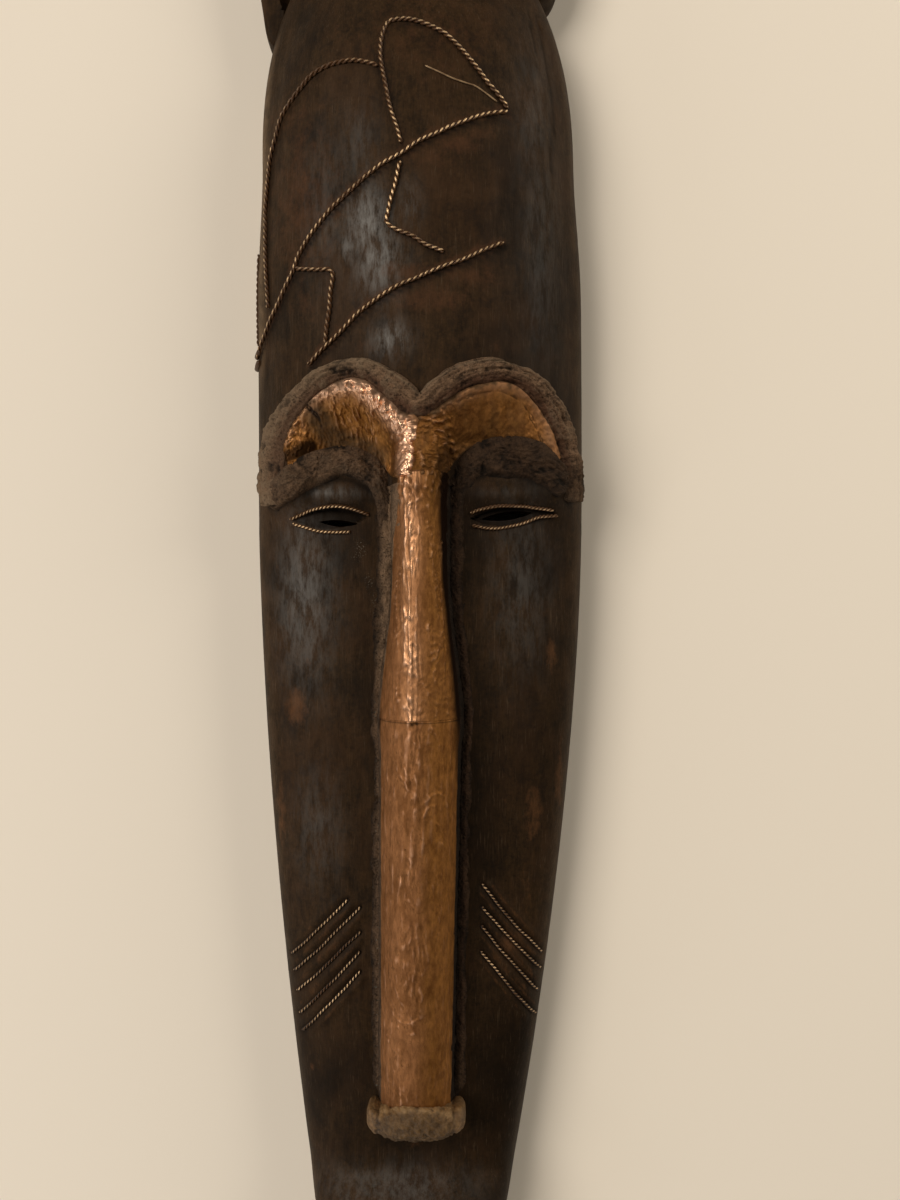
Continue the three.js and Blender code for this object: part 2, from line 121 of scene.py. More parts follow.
# A bell: e to minus the square of the distance over the width.
def bump(distance, width=1.0):
    return np.exp(-((distance / width) ** 2))


# Arrows brought to a length of 1.
def unit(arrows):
    return arrows / np.linalg.norm(arrows, axis=-1, keepdims=True)


# Smooth noise from -1 to 1. Seeded random values sit on a lattice, each place blends the eight round it by
# 3tt - 2ttt, and every octave is half as large and half as strong as the one before.
def noiseAt(points, size, seed, octaves=1):
    total, share, weights = 0.0, 1.0, 0.0
    for octave in range(octaves):
        table = np.random.default_rng(seed + 31 * octave).uniform(-1, 1, (64, 64, 64))
        scaled = points / np.asarray(size) * 2**octave
        cell = np.floor(scaled).astype(int)
        part = scaled - cell
        part = part * part * (3 - 2 * part)
        value = 0.0
        for corner in np.ndindex(2, 2, 2):
            i, j, k = np.moveaxis((cell + np.array(corner)) % 64, -1, 0)
            value = value + np.prod(np.where(corner, part, 1 - part), axis=-1) * table[i, j, k]
        total = total + share * value
        weights += share
        share *= 0.5
    return total / weights


# The same noise over flat places. Its size is one number, or one along X and one along Y.
def noiseOn(x, y, size, seed, octaves=1):
    scaled = np.stack([x, y], -1) / np.asarray(size)
    return noiseAt(np.concatenate([scaled, 0 * scaled[..., :1]], -1), 1, seed, octaves)


# Evenly spaced points on a Catmull-Rom line through given places.
def smoothLine(places, spacing=None, count=None):
    p = np.array(places, float)
    padded = np.vstack([2 * p[0] - p[1], p, 2 * p[-1] - p[-2]])
    t = np.linspace(0, len(p) - 1, 24 * (len(p) - 1) + 1)
    i = np.minimum(t.astype(int), len(p) - 2)
    f = (t - i)[:, None]
    a, b, c, d = (padded[i + k] for k in range(4))
    line = b + 0.5 * f * ((c - a) + f * ((2 * a - 5 * b + 4 * c - d) + f * (3 * b - a - 3 * c + d)))
    along = np.concatenate([[0], np.cumsum(np.hypot(*np.diff(line[:, :2], axis=0).T))])
    count = count or max(3, round(along[-1] / spacing))
    at = np.linspace(0, along[-1], count + 1)
    return np.stack([np.interp(at, along, column) for column in line.T], axis=1)


# The distance in X and Y from each place to a smooth line, to the nearest of its straight pieces.
def distanceTo(places, x, y, spacing=2):
    line = smoothLine(places, spacing)[:, :2]
    nearest = np.full(x.shape, 1e9)
    for a, step in zip(line[:-1], np.diff(line, axis=0)):
        t = clamp01(((x - a[0]) * step[0] + (y - a[1]) * step[1]) / max(step @ step, 1e-9))
        nearest = np.minimum(nearest, np.hypot(x - a[0] - t * step[0], y - a[1] - t * step[1]))
    return nearest


# Crumples: folds like those of foil, the sum of straight pleats in several directions. Each pleat is a
# triangle wave of the given slope whose phase wanders, and it fades in and out over the sheet. Lean is the
# direction that the pleats run across.
def crumple(x, y, waves, slope, seed, lean=None, spread=0.4, count=7):
    rng = np.random.default_rng(seed)
    total = 0.0
    for number in range(count):
        angle = rng.uniform(0, math.pi) if lean is None else lean + rng.normal() * spread
        wave = rng.uniform(*waves)
        phase = (x * math.cos(angle) + y * math.sin(angle)) / wave
        phase = phase + rng.uniform() + 0.6 * noiseOn(x, y, 1.6 * wave, seed + number, 2)
        share = smooth(0.5 + 2.0 * noiseOn(x, y, 2.5 * wave, seed + 50 + number))
        total = total + share * slope * wave / 2 * (np.abs(2 * (phase % 1) - 1) - 0.5)
    return total


# The mask's own form, as the solids have it

wood = {
    "crownY": 384, "chinY": -435, "crownCapStart": 248, "chinCapStart": -385, "fullHalfWidth": 93.2,
    "upperNarrowing": 3.5, "lowerTaper": 38.4, "taperStart": 60, "taperLength": 403, "foreheadDepth": 78,
    "foreheadCapStart": 230, "cheekDepth": 52, "cheekDepthLoss": 6, "chinSlopeStart": -350,
    "muzzleRise": 18, "muzzleTop": -308, "wall": 13,
}
arch = {"centreX": 37, "centreY": 50, "halfWidth": 47, "height": 72}
nose = {
    "ridge": 81, "rootHalf": 14.3, "widening": 7.2, "coreShare": 1.07, "endY": -268, "jointY": -63.5,
    "sheetEndY": -263,
}


# The half width at a height: a full width that narrows upwards and tapers downwards, with a rounded cap at
# each end.
def halfWidth(y, inset=0):
    narrowing = wood["upperNarrowing"] * smooth((y - 170) / 80)
    taper = wood["lowerTaper"] * (np.maximum(0, wood["taperStart"] - y) / wood["taperLength"]) ** 1.75
    crownRun = wood["crownY"] - wood["crownCapStart"] - inset
    chinRun = wood["chinCapStart"] - wood["chinY"] - inset
    crownCap = ellipse(np.maximum(0, y - wood["crownCapStart"]) / crownRun, 2.3)
    chinCap = ellipse(np.maximum(0, wood["chinCapStart"] - y) / chinRun, 2.2)
    return np.maximum(0, wood["fullHalfWidth"] - narrowing - taper - inset) * crownCap * chinCap


# The middle line, which bends left by the square of the way up and by the power 1.5 of the way down.
def centreX(y):
    return -3.2 * clamp01((y - 60) / 285) ** 2 - 5 * (np.maximum(0, -y) / 344) ** 1.5


# The forehead's height: its depth, rounded across by q and towards the crown.
def foreheadHeight(q, y, inset=0):
    run = wood["crownY"] - wood["foreheadCapStart"] - inset
    cap = ellipse(np.maximum(0, y - wood["foreheadCapStart"]) / run, 2.2)
    return (wood["foreheadDepth"] - inset) * cap * ellipse(q, 2.3)


# The cheeks' height: a depth that is less lower down, almost flat across, and rounded towards the chin.
def faceHeight(q, y, inset=0):
    power = 4 - 1.4 * smooth((-300 - y) / 100)
    depth = wood["cheekDepth"] - wood["cheekDepthLoss"] * clamp01((wood["taperStart"] - y) / 340) - inset
    run = wood["chinSlopeStart"] - wood["chinY"] - inset
    return depth * ellipse(np.maximum(0, wood["chinSlopeStart"] - y) / run) * ellipse(q, power)


# 0 in the sockets and on the cheeks, 1 on the forehead, with a cove under each brow arch between them.
def foreheadShare(fromCentre, y):
    across = np.abs(fromCentre) - arch["centreX"]
    power = np.where(across > 0, 2.0, 2.6)
    up = np.maximum(0, (y - arch["centreY"]) / arch["height"])
    reach = ((np.abs(across) / arch["halfWidth"]) ** power + up**power) ** (1 / power)
    return smooth((reach - 0.42) / 0.5) * smooth((y - 38) / 22)


# Half the nose copper's width: it widens below the eyes and narrows a little towards the nose's end.
def sheetHalf(y):
    swell = nose["widening"] * smooth((15 - y) / 85) - 1.3 * smooth((-64 - y) / 20)
    return nose["rootHalf"] + swell - 1.5 * clamp01((-90 - y) / 170)


# The nose's middle line: straight, then a little left by a share of the way down.
def noseX(y):
    return 1 - 2.3 * clamp01((-60 - y) / 200)


# The smooth carved front: cheeks and forehead blended, eyelids and mouth added, and the larger of that and
# the nose, with a small fillet where they meet.
def frontHeight(x, y):
    fromCentre = x - centreX(y)
    q = fromCentre / np.maximum(halfWidth(y), 1e-6)
    face = faceHeight(q, y)
    lid = 5 * np.exp(-(((np.abs(fromCentre) - 46) / 20) ** 2) - ((y - 57) / 8) ** 2)
    muzzleRun = smooth((wood["muzzleTop"] - y) / 30) * (1 - smooth((-375 - y) / 45))
    muzzle = wood["muzzleRise"] * muzzleRun * ellipse(q, 2.6)
    front = mix(face, foreheadHeight(q, y), foreheadShare(fromCentre, y)) + lid + muzzle
    ridge = nose["ridge"] - 9 * clamp01((-110 - y) / 160) ** 1.5 - 12 * smooth((y - 60) / 55)
    across = (x - noseX(y)) / (nose["coreShare"] * sheetHalf(y))
    run = smooth((y - nose["endY"] + 4 + 8 * clamp01(np.abs(across)) ** 2) / 8) * (1 - smooth((y - 105) / 10))
    core = face + (ridge - face) * run * ellipse(across)
    closeness = np.maximum(3 - np.abs(front - core), 0) / 3
    return np.maximum(front, core) + closeness**2 * 0.75


# The hollow's height: the same two forms a wall's thickness in, blended over the brow.
def hollowHeight(x, y):
    q = (x - centreX(y)) / np.maximum(halfWidth(y, wood["wall"]), 1e-6)
    share = smooth((y - 75) / 60)
    return mix(faceHeight(q, y, wood["wall"]), foreheadHeight(q, y, wood["wall"]), share)


# Points lifted off the smooth front, square to it. The slope is the rise over half a millimetre each way.
def abovePoint(x, y, lift):
    slopeX = frontHeight(x + 0.5, y) - frontHeight(x - 0.5, y)
    slopeY = frontHeight(x, y + 0.5) - frontHeight(x, y - 0.5)
    outwards = unit(np.stack([-slopeX, -slopeY, np.ones_like(slopeX)], axis=-1))
    return np.stack([x, y, frontHeight(x, y)], axis=-1) + outwards * np.asarray(lift)[..., None]


# Meshes from arrays

lowCorner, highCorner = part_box("mask_body")
shift = np.array([highCorner.x * 1000 - wood["fullHalfWidth"], lowCorner.y * 1000 - wood["chinY"], 0])


# Triangles without those that collapse where a vertex number repeats.
def wholeFaces(faces):
    a, b, c = faces.T
    return faces[(a != b) & (b != c) & (c != a)]


# Two triangles for each cell of a grid of vertex numbers.
def gridFaces(index):
    a, b, c, d = index[:-1, :-1], index[:-1, 1:], index[1:, 1:], index[1:, :-1]
    return wholeFaces(np.concatenate([np.stack(t, -1).reshape(-1, 3) for t in ((a, d, c), (a, c, b))]))


# A grid of vertex numbers whose two end rows are one point each.
def numbered(rows, columns, first=0):
    index = first + np.arange(rows * columns).reshape(rows, columns)
    index[0] = index[0, 0]
    index[-1] = index[-1, 0]
    return index


# The faces of a grid that closes round, with a point at each end.
def tubeFaces(rows, columns):
    index = numbered(rows, columns)
    return gridFaces(np.concatenate([index, index[:, :1]], axis=1))


# Faces turned outwards, where the volume that they enclose, the sum of a . (b x c), is above 0.
def facingOut(points, faces):
    a, b, c = (points[faces[:, k]] for k in range(3))
    return faces[:, ::-1] if np.einsum("ij,ij->i", a, np.cross(b, c)).sum() < 0 else faces


# Several shapes as one: points and marks end to end, and each shape's faces numbered on from the last.
def joined(parts):
    firsts = np.cumsum([0] + [points.size // 3 for points, _, _ in parts])
    points = np.concatenate([points.reshape(-1, 3) for points, _, _ in parts])
    faces = np.concatenate([faces + first for (_, faces, _), first in zip(parts, firsts)])
    marks = {mark: np.concatenate([part[2][mark].ravel() for part in parts]) for mark in parts[0][2]}
    return points, faces, marks


# A finished piece: the points that its faces use, in metres, and its marks, the values that its finish reads.
# Edges over the sharp angle stay sharp.
def addPiece(name, slotName, node, points, faces, marks, sharp=None):
    used, faces = np.unique(faces, return_inverse=True)
    points = points.reshape(-1, 3)[used]
    faces = facingOut(points, faces.reshape(-1, 3)).astype(np.int32)
    mesh = bpy.data.meshes.new(name)
    mesh.vertices.add(len(points))
    mesh.vertices.foreach_set("co", ((points + shift) * 0.001).astype(np.float32).ravel())
    mesh.loops.add(faces.size)
    mesh.loops.foreach_set("vertex_index", faces.ravel())
    mesh.polygons.add(len(faces))
    mesh.polygons.foreach_set("loop_start", np.arange(0, faces.size, 3, dtype=np.int32))
    mesh.update(calc_edges=True)
    mesh.shade_smooth()
    if sharp:
        mesh.set_sharp_from_angle(angle=math.radians(sharp))
    for mark, values in marks.items():
        painted = mesh.attributes.new(mark, "FLOAT", "POINT")
        painted.data.foreach_set("value", values.ravel()[used].astype(np.float32))
    mesh.materials.append(finishes[slotName])
    piece = addObject(name, mesh)
    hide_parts(node)
    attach(piece, "root")
    print(f"{name}: {len(faces)} triangles")


# A closed layer on the wood: its top is a grid of places, each lifted by its own amount, its underside is a
# few of their columns sunk into the wood, and its two end rows close to a point there. Marks that aren't
# given are usual.
def layer(x, y, lift, usual, marks, sink=1.5):
    columns = x.shape[1]
    under = np.linspace(columns - 1, 0, max(4, columns // 6)).round().astype(int)
    bottom = abovePoint(x[:, under], y[:, under], np.minimum(lift[:, under], 0) - sink)
    points = np.concatenate([abovePoint(x, y, lift), bottom], axis=1)
    for end in (0, -1):
        points[end] = abovePoint(x[end, columns // 2], y[end, columns // 2], -0.5)
    full = {mark: value + 0 * x for mark, value in {**usual, **marks}.items()}
    full = {mark: np.concatenate([values, values[:, under]], axis=1) for mark, values in full.items()}
    return points, tubeFaces(*points.shape[:2]), full


# One strand: a round section carried along its line, square to it, and closed to a point at each end.
def strand(line, outwards, radius, sides):
    tangent = unit(np.gradient(line, axis=0))
    sideways = unit(np.cross(tangent, outwards))
    square = np.cross(sideways, tangent)
    fromEnd = np.minimum(np.arange(len(line)), np.arange(len(line))[::-1]) + 1
    reach = radius * np.minimum(1, 0.55 * fromEnd)[:, None, None]
    angle = np.linspace(0, 2 * math.pi, sides + 1)[None, :-1, None]
    rings = line[:, None] + reach * (np.cos(angle) * square[:, None] + np.sin(angle) * sideways[:, None])
    first, last = (np.broadcast_to(line[end], (1, sides, 3)) for end in (0, -1))
    return np.concatenate([first, rings, last]), tubeFaces(len(line) + 2, sides)


# Finishes


# A shader socket that takes part in Python sums. Each operator adds the Math node that it names.
class Signal:
    def __init__(self, finish, socket):
        self.finish = finish
        self.socket = socket

    # The Math node of an operation on this value and others.
    def math(self, operation, *others, clamp=False):
        values = dict(enumerate((self, *others)))
        return self.finish.node("ShaderNodeMath", {"operation": operation, "use_clamp": clamp}, values)

    def __add__(self, other):
        return self.math("ADD", other)

    def __mul__(self, other):
        return self.math("MULTIPLY", other)

    def __sub__(self, other):
        return self.math("SUBTRACT", other)

    def __rsub__(self, other):
        return self.finish.node("ShaderNodeMath", {"operation": "SUBTRACT"}, {0: other, 1: self})

    __radd__ = __add__
    __rmul__ = __mul__

    # 0 below the first number, 1 above the second, and a straight run between them.
    def between(self, low, high):
        return ((self - low) * (1 / (high - low))).math("ADD", 0.0, clamp=True)


# A screen colour, three numbers up to 255, as linear light: (c + 0.055) / 1.055 to the power 2.4, or c /
# 12.92 if dark.
def colour(*screen):
    return tuple(((c / 255 + 0.055) / 1.055) ** 2.4 if c > 10 else c / 255 / 12.92 for c in screen) + (1,)


# A material under construction: its nodes are added one by one, and done() closes it.
class Finish:
    def __init__(self, name):
        self.material = bpy.data.materials.new(name)
        self.material.use_nodes = True
        self.tree = self.material.node_tree
        self.tree.nodes.clear()
        self.where = self.node("ShaderNodeTexCoord", output="Object")

    # Adds a node: its settings are made first, then its sockets get values or links.
    def node(self, kind, settings=None, sockets=None, output=0):
        made = self.tree.nodes.new(kind)
        for key, value in (settings or {}).items():
            setattr(made, key, value)
        for key, value in (sockets or {}).items():
            if isinstance(value, Signal):
                self.tree.links.new(value.socket, made.inputs[key])
            else:
                made.inputs[key].default_value = value
        return None if output is None else Signal(self, made.outputs[output])

    # The values of a mark on the piece's points.
    def mark(self, name):
        return self.node("ShaderNodeAttribute", {"attribute_name": name}, output="Fac")

    # Cloudy noise of a size in millimetres. Its places are first multiplied by keepY along Y, which draws it
    # out.
    def noise(self, size, detail=3.0, roughness=0.55, keepY=1.0, distortion=0.0):
        stretch = {0: self.where, 1: (1, keepY, 1)}
        places = self.node("ShaderNodeVectorMath", {"operation": "MULTIPLY"}, stretch)
        sockets = {"Vector": places, "Scale": 1000 / size, "Detail": detail, "Roughness": roughness}
        return self.node("ShaderNodeTexNoise", {}, {**sockets, "Distortion": distortion})

    # One colour over another by a share. Colours are three numbers up to 255, or signals.
    def blend(self, share, under, over):
        under, over = (shade if isinstance(shade, Signal) else colour(*shade) for shade in (under, over))
        return self.node("ShaderNodeMix", {"data_type": "RGBA"}, {0: share, 6: under, 7: over}, output=2)

    # Colours laid over each other in turn, each with its share.
    def coats(self, base, *layers):
        for share, over in layers:
            base = self.blend(share, base, over)
        return base

    # A surface roughened by a height, with its full depth in millimetres.
    def relief(self, height, depth):
        return self.node("ShaderNodeBump", {}, {"Height": height, "Distance": depth * 0.001, "Strength": 1.0})

    # Joins colour, roughness, metal and relief in one shader, with its fixed sockets, and gives the material.
    def done(self, base, roughness, metallic=0.0, normal=None, **fixed):
        sockets = {"Base Color": base, "Roughness": roughness, "Metallic": metallic, **fixed}
        if normal:
            sockets["Normal"] = normal
        shader = self.node("ShaderNodeBsdfPrincipled", {}, sockets)
        self.node("ShaderNodeOutputMaterial", {}, {"Surface": shader}, output=None)
        return self.material


# Stained wood: soft grain along Y, polished patches with a painted grey-blue sheen, red-brown stain by the
# wires, rubbed brown edges, grime and painted shade in the grooves, cracks and eyes and below the wires and
# bands, painted shade in spots, a painted light strip along the edge and paler bare wood in the hollow. Each
# share is noise, times or plus its mark.
def woodFinish():
    f = Finish("stainedWood")
    grain = f.noise(0.8, 4, 0.6, 0.12)
    streak = f.noise(5, 5, 0.62, 0.25, 0.5)
    cloud = f.noise(34, 5, 0.62, 0.7)
    mottle = f.noise(2.2, 5, 0.78)
    patch = f.noise(13, 6, 0.74, 0.8, 0.4)
    dim = f.noise(52, 4, 0.6, 0.7).between(0.5, 0.38)
    scratch = f.noise(0.55, 2, 0.5, 0.045).between(0.6, 0.72) * patch.between(0.4, 0.6)
    # The sheen mark paints grey-blue highlight colour on polished patches; their coat and lower roughness are
    # real gloss.
    sheen = f.mark("sheen") * (0.12 + 1.05 * f.noise(4.5, 6, 0.76, 0.28, 0.15).between(0.41, 0.6))
    stain = (f.mark("stain") * 1.1 + f.noise(7, 6, 0.8, 0.7) * 2.6 - 1.7).between(0.0, 0.8)
    rub = (f.mark("rub") * 1.1 + f.noise(4, 5, 0.75, 0.5) * 1.8 - 1.45).between(0.0, 0.7)
    grimeAndShade = (f.mark("grimeAndShade") * (0.6 + 0.8 * f.noise(5, 3))).between(0.0, 1.0)
    fibres = 0.35 * streak + 0.4 * mottle
    base = f.coats(
        f.blend((0.25 * grain + fibres).between(0.38, 0.62), (25, 17, 8), (60, 43, 25)),
        (cloud.between(0.42, 0.66) * 0.5, (58, 39, 23)),
        (patch.between(0.5, 0.64) * 0.4, (66, 46, 29)),
        (patch.between(0.47, 0.36) * 0.5, (27, 20, 14)),
        (dim * 0.5, (20, 14, 9)),
        # Painted shade: the shade spots darken the wood where shade falls, most on the right side and lower
        # down.
        (f.mark("shade") * 0.85, (12, 7, 3)),
        (sheen.between(0, 1) * 0.9, (98, 95, 92)),
        (scratch * 0.4, (88, 72, 54)),
        (stain * f.mark("stain").between(0, 0.3) * 0.6, (82, 54, 35)),
        (rub * f.mark("rub").between(0.0, 0.3) * 0.6, (102, 68, 42)),
        # Painted light: a paler strip along the mask's edge, strongest on the left forehead, where the side
        # catches light.
        (f.mark("side") * (0.25 + 0.5 * patch.between(0.4, 0.6)), (112, 92, 70)),
        # Grime and painted shade: darker in the grooves, cracks, nick and eyes and in shadow lines below the
        # wires and bands.
        (grimeAndShade * 0.85, (14, 10, 7)),
        (f.mark("specks") * f.noise(0.8, 2).between(0.6, 0.68) * 0.6, (170, 164, 150)),
        (f.mark("inside") * (0.5 + 0.5 * cloud), (96, 68, 45)),
    )
    roughness = 0.64 + 0.2 * f.mark("inside") - 0.16 * sheen + 0.2 * grimeAndShade - 0.1 * streak.between(0.35, 0.7)
    normal = f.relief(0.4 * grain + fibres + 0.25 * scratch, 0.34)
    coat = {"Coat Weight": 0.35 * sheen, "Coat Roughness": 0.42, "Specular IOR Level": 0.08}
    return f.done(base, roughness, 0.0, normal, **coat)


# Resin: matt brown-black putty, redder beside the copper and greyer on top, with pale fibres along its
# ridges, painted highlights on its edge and lump tops, and painted shade in its hollows, beside the copper
# and where it lies in shade.
def resinFinish():
    f = Finish("roughResin")
    lump = f.noise(6, 5, 0.68)
    grit = f.noise(0.9, 3, 0.6)
    pits = f.noise(1.7, 4, 0.7).between(0.4, 0.34)
    base = f.coats(
        f.blend((0.5 * lump + 0.5 * grit).between(0.38, 0.62), (70, 53, 40), (132, 104, 80)),
        ((f.mark("cold") * (0.4 + f.noise(6, 4))).between(0, 1) * 0.5, (66, 58, 50)),
        ((f.mark("red") * (0.4 + f.noise(6, 4))).between(0, 1) * 0.75, (60, 32, 19)),
        # Pale: a painted highlight on the brow's outer edge and on lump tops, and the real paler resin of the
        # seams and fibres.
        ((f.mark("pale") * (0.3 + 1.2 * grit)).between(0.1, 1) * 0.75, (118, 100, 80)),
        # Painted shade and tone: darker over the right band and brow end in shade, and where the seams thin
        # into the wood.
        (f.mark("fadeAndShade").between(0, 1), f.blend(lump.between(0.4, 0.6), (26, 18, 11), (52, 37, 24))),
        (f.noise(1.3, 2, 0.5).between(0.66, 0.72) * f.mark("flecks") * 0.8, (104, 118, 112)),
        (pits * 0.4, (28, 20, 13)),
        # Painted shade: black where the mark is low, between lumps, in the hole, along band edges and beside
        # the copper.
        ((1 - f.mark("unshaded")).between(0, 1) * 0.85, (13, 9, 6)),
    )
    normal = f.relief(0.7 * lump + 0.5 * grit - 0.4 * pits, 1.6)
    return f.done(base, 0.86 - 0.15 * grit, 0.0, normal, **{"Specular IOR Level": 0.15})


# The nose roll's resin: smoother and yellower, green-brown on its pad, with painted highlight on its rim and
# lumps and painted shade in its creases, between its lumps and on its underside.
def tipFinish():
    f = Finish("tipResin")
    lump = f.noise(4, 5, 0.68)
    grit = f.noise(0.9, 3, 0.6)
    base = f.coats(
        f.blend(lump.between(0.38, 0.62), (58, 37, 18), (116, 86, 52)),
        (f.mark("green").between(0, 1) * 0.5, (74, 55, 27)),
        ((f.mark("pale") * (0.3 + 1.2 * grit)).between(0.1, 1) * 0.8, (146, 116, 78)),
        (f.mark("grimeAndShade").between(0, 1) * 0.85, (30, 20, 11)),
    )
    normal = f.relief(0.7 * lump + 0.6 * grit, 1.1)
    return f.done(base, 0.62 - 0.2 * grit, 0.0, normal, **{"Specular IOR Level": 0.35})


# Copper sheet: brown lacquered metal with fine streaks along Y and dirt, a painted highlight where a fold
# stands up and on the bright rolls, painted shade in the low folds and darker painted shade where its gloom
# mark is high.
def sheetFinish():
    f = Finish("crumpledCopper")
    fine = f.noise(0.8, 4, 0.65, 0.4)
    streak = f.noise(1.2, 4, 0.62, 0.2, 0.6)
    cloud = f.noise(14, 5, 0.65, 0.4)
    spots = f.noise(3.5, 5, 0.7, 0.5)
    fold, shine, matt = f.mark("fold"), f.mark("shine"), f.mark("matt")
    dirt = (f.mark("dirt") * (0.4 + 1.2 * f.noise(3, 5, 0.7))).between(0, 1)
    flecks = f.noise(1.3, 4, 0.7, 0.3, 1.0).between(0.54, 0.64) * (0.3 + 0.5 * matt)
    lacquer = f.blend(spots.between(0.35, 0.65), (116, 74, 30), (164, 114, 52))
    base = f.coats(
        f.blend((0.5 * cloud + 0.5 * spots).between(0.38, 0.62), (118, 78, 46), (168, 120, 82)),
        (streak.between(0.52, 0.72) * 0.3, (98, 62, 34)),
        (flecks * spots.between(0.35, 0.6), (76, 47, 25)),
        # Painted highlight: the shine mark lightens the bright rolls and the nose's bright line.
        (shine * 0.85, (246, 200, 168)),
        # Painted shade in the low folds and painted highlight on the raised ones.
        (fold.between(0.0, -1.0) * 0.8, (72, 44, 22)),
        (fold.between(0.2, 1.0) * 0.8, (238, 190, 156)),
        (f.mark("yellow").between(0, 1) * 0.8, lacquer),
        (dirt * 0.9, (60, 44, 25)),
        # Painted shade: the gloom mark darkens rips, hollows, creases, sheet edges and the shaded right side,
        # with the dark seam, holes and nick.
        (f.mark("gloom").between(0, 1), (30, 17, 8)),
    )
    roughness = 0.46 + 0.16 * streak - 0.16 * fold.between(0.1, 1.0) + 0.3 * dirt + matt * 0.16 - 0.15 * shine
    normal = f.relief(0.55 * fine + 0.25 * streak + 0.5 * spots, 0.28)
    return f.done(base, roughness, 0.92 - 0.75 * dirt, normal, **{"Specular IOR Level": 0.25})


# Twisted wire: nearly black in its grooves, brown on its flanks and bright where its top mark is high: worn
# copper with a painted highlight.
def wireFinish():
    f = Finish("twistedCopper")
    cloud = f.noise(4, 3, 0.6)
    top = f.mark("top") * (0.5 + cloud)
    wornAndHighlight = top.between(0.4, 1.0)
    base = f.coats((28, 17, 9), (top.between(0.0, 0.2), (74, 48, 25)), (wornAndHighlight, (250, 214, 168)))
    normal = f.relief(f.noise(0.6, 2), 0.08)
    return f.done(base, 0.5 - 0.12 * cloud, wornAndHighlight * 0.75, normal, **{"Specular IOR Level": 0.3})


finishes = {
    "wood": woodFinish(), "resin": resinFinish(), "tip_resin": tipFinish(), "copper_sheet": sheetFinish(),
    "copper_wire": wireFinish(),
}
print("finishes ready")

# The wires' lines

foreheadWires = {
    "crest_loop_wire": [
        (47, 258.5), (41.5, 265.5), (37.5, 269.5), (33, 275), (29.5, 279.5), (25, 285), (20, 290.5),
        (14, 296), (8, 299.5), (1.5, 302.5), (-5, 304), (-10, 304), (-14.5, 303), (-17, 299.5), (-19, 293),
        (-19.5, 285), (-18.5, 277.5), (-16, 265.5), (-14, 255.5), (-11.5, 247), (-8.7, 236),
    ],
    "neck_wire": [
        (-9, 226.5), (-10, 223), (-12, 213.5), (-15, 200.5), (-15.5, 195.5), (-11.5, 192), (-3, 188.5),
        (5, 183.5), (13.5, 180),
    ],
    "long_diagonal_wire": [
        (46.5, 257), (37.5, 254), (26.5, 249.5), (14, 243.5), (2.5, 238), (-7, 232), (-16.5, 226.5),
        (-26.5, 220), (-36.5, 211.5), (-47, 203), (-56, 193.5), (-63, 184), (-66.5, 176), (-73, 166),
        (-78, 158), (-82.5, 151.5), (-88, 143), (-91, 136),
    ],
    "outer_loop_wire": [
        (-20.4, 277.6), (-25, 280), (-32.5, 282), (-40, 282), (-48.5, 281), (-56.5, 278), (-62, 274),
        (-68.5, 268.5), (-74.5, 262.5), (-78, 254), (-81.2, 246), (-83.8, 232.5), (-85, 218), (-85, 205),
        (-84.6, 192), (-83.8, 175), (-82.6, 161),
    ],
    "bracket_wire": [
        (-65, 176.8), (-54, 174), (-47, 173), (-44.5, 170.5), (-44.5, 166), (-45.5, 158.5), (-46.5, 149),
        (-48.4, 134),
    ],
    "lower_diagonal_wire": [
        (44.5, 187), (33, 181.5), (22, 176), (11, 171.5), (0, 167), (-11.5, 161.5), (-22.5, 155),
        (-32.5, 147.5), (-41, 139), (-51, 130.5), (-57.5, 124.5),
    ],
    "left_side_wire": [(-91, 196), (-92, 186), (-92.1, 170), (-92.1, 156), (-91.8, 144)],
}
thinInnerWire = [(4, 277.5), (10.5, 274.5), (18.5, 271), (25.5, 269), (31, 267.5), (41.5, 261)]
eyeWires = {
    "left_upper_eye_wire": [(-70, 44), (-64.5, 46.2), (-57, 49.2), (-46, 51), (-36.5, 49.5), (-27, 46)],
    "left_lower_eye_wire": [(-68.5, 41.5), (-64, 40), (-57, 38), (-51, 37.2), (-44, 37), (-37, 37)],
    "right_upper_eye_wire": [(28, 47), (33, 49.2), (41, 50.8), (55, 51), (62.5, 50.5), (73, 49)],
    "right_lower_eye_wire": [
        (29, 40.5), (36.5, 39), (43.5, 39), (51.5, 40.5), (59, 42.4), (66.5, 45.2), (75.5, 46.5),
    ],
}
cheekWires = {
    "left_cheek_wire_1": [(-71.5, -197.5), (-39, -163.5)],
    "left_cheek_wire_2": [(-69.5, -206.5), (-32, -167.5)],
    "left_cheek_wire_3": [(-68, -217.5), (-32, -181)],
    "left_cheek_wire_4": [(-66.5, -230), (-32, -192)],
    "left_cheek_wire_5": [(-65, -239.5), (-32, -203)],
    "right_cheek_wire_1": [(34.5, -155), (43, -166), (54, -179.5), (60.5, -187), (68.5, -197)],
    "right_cheek_wire_2": [(34.5, -167.5), (68, -206.5)],
    "right_cheek_wire_3": [(34, -178), (66.5, -219)],
    "right_cheek_wire_4": [(34, -192), (65, -232.5)],
}

# The wooden body

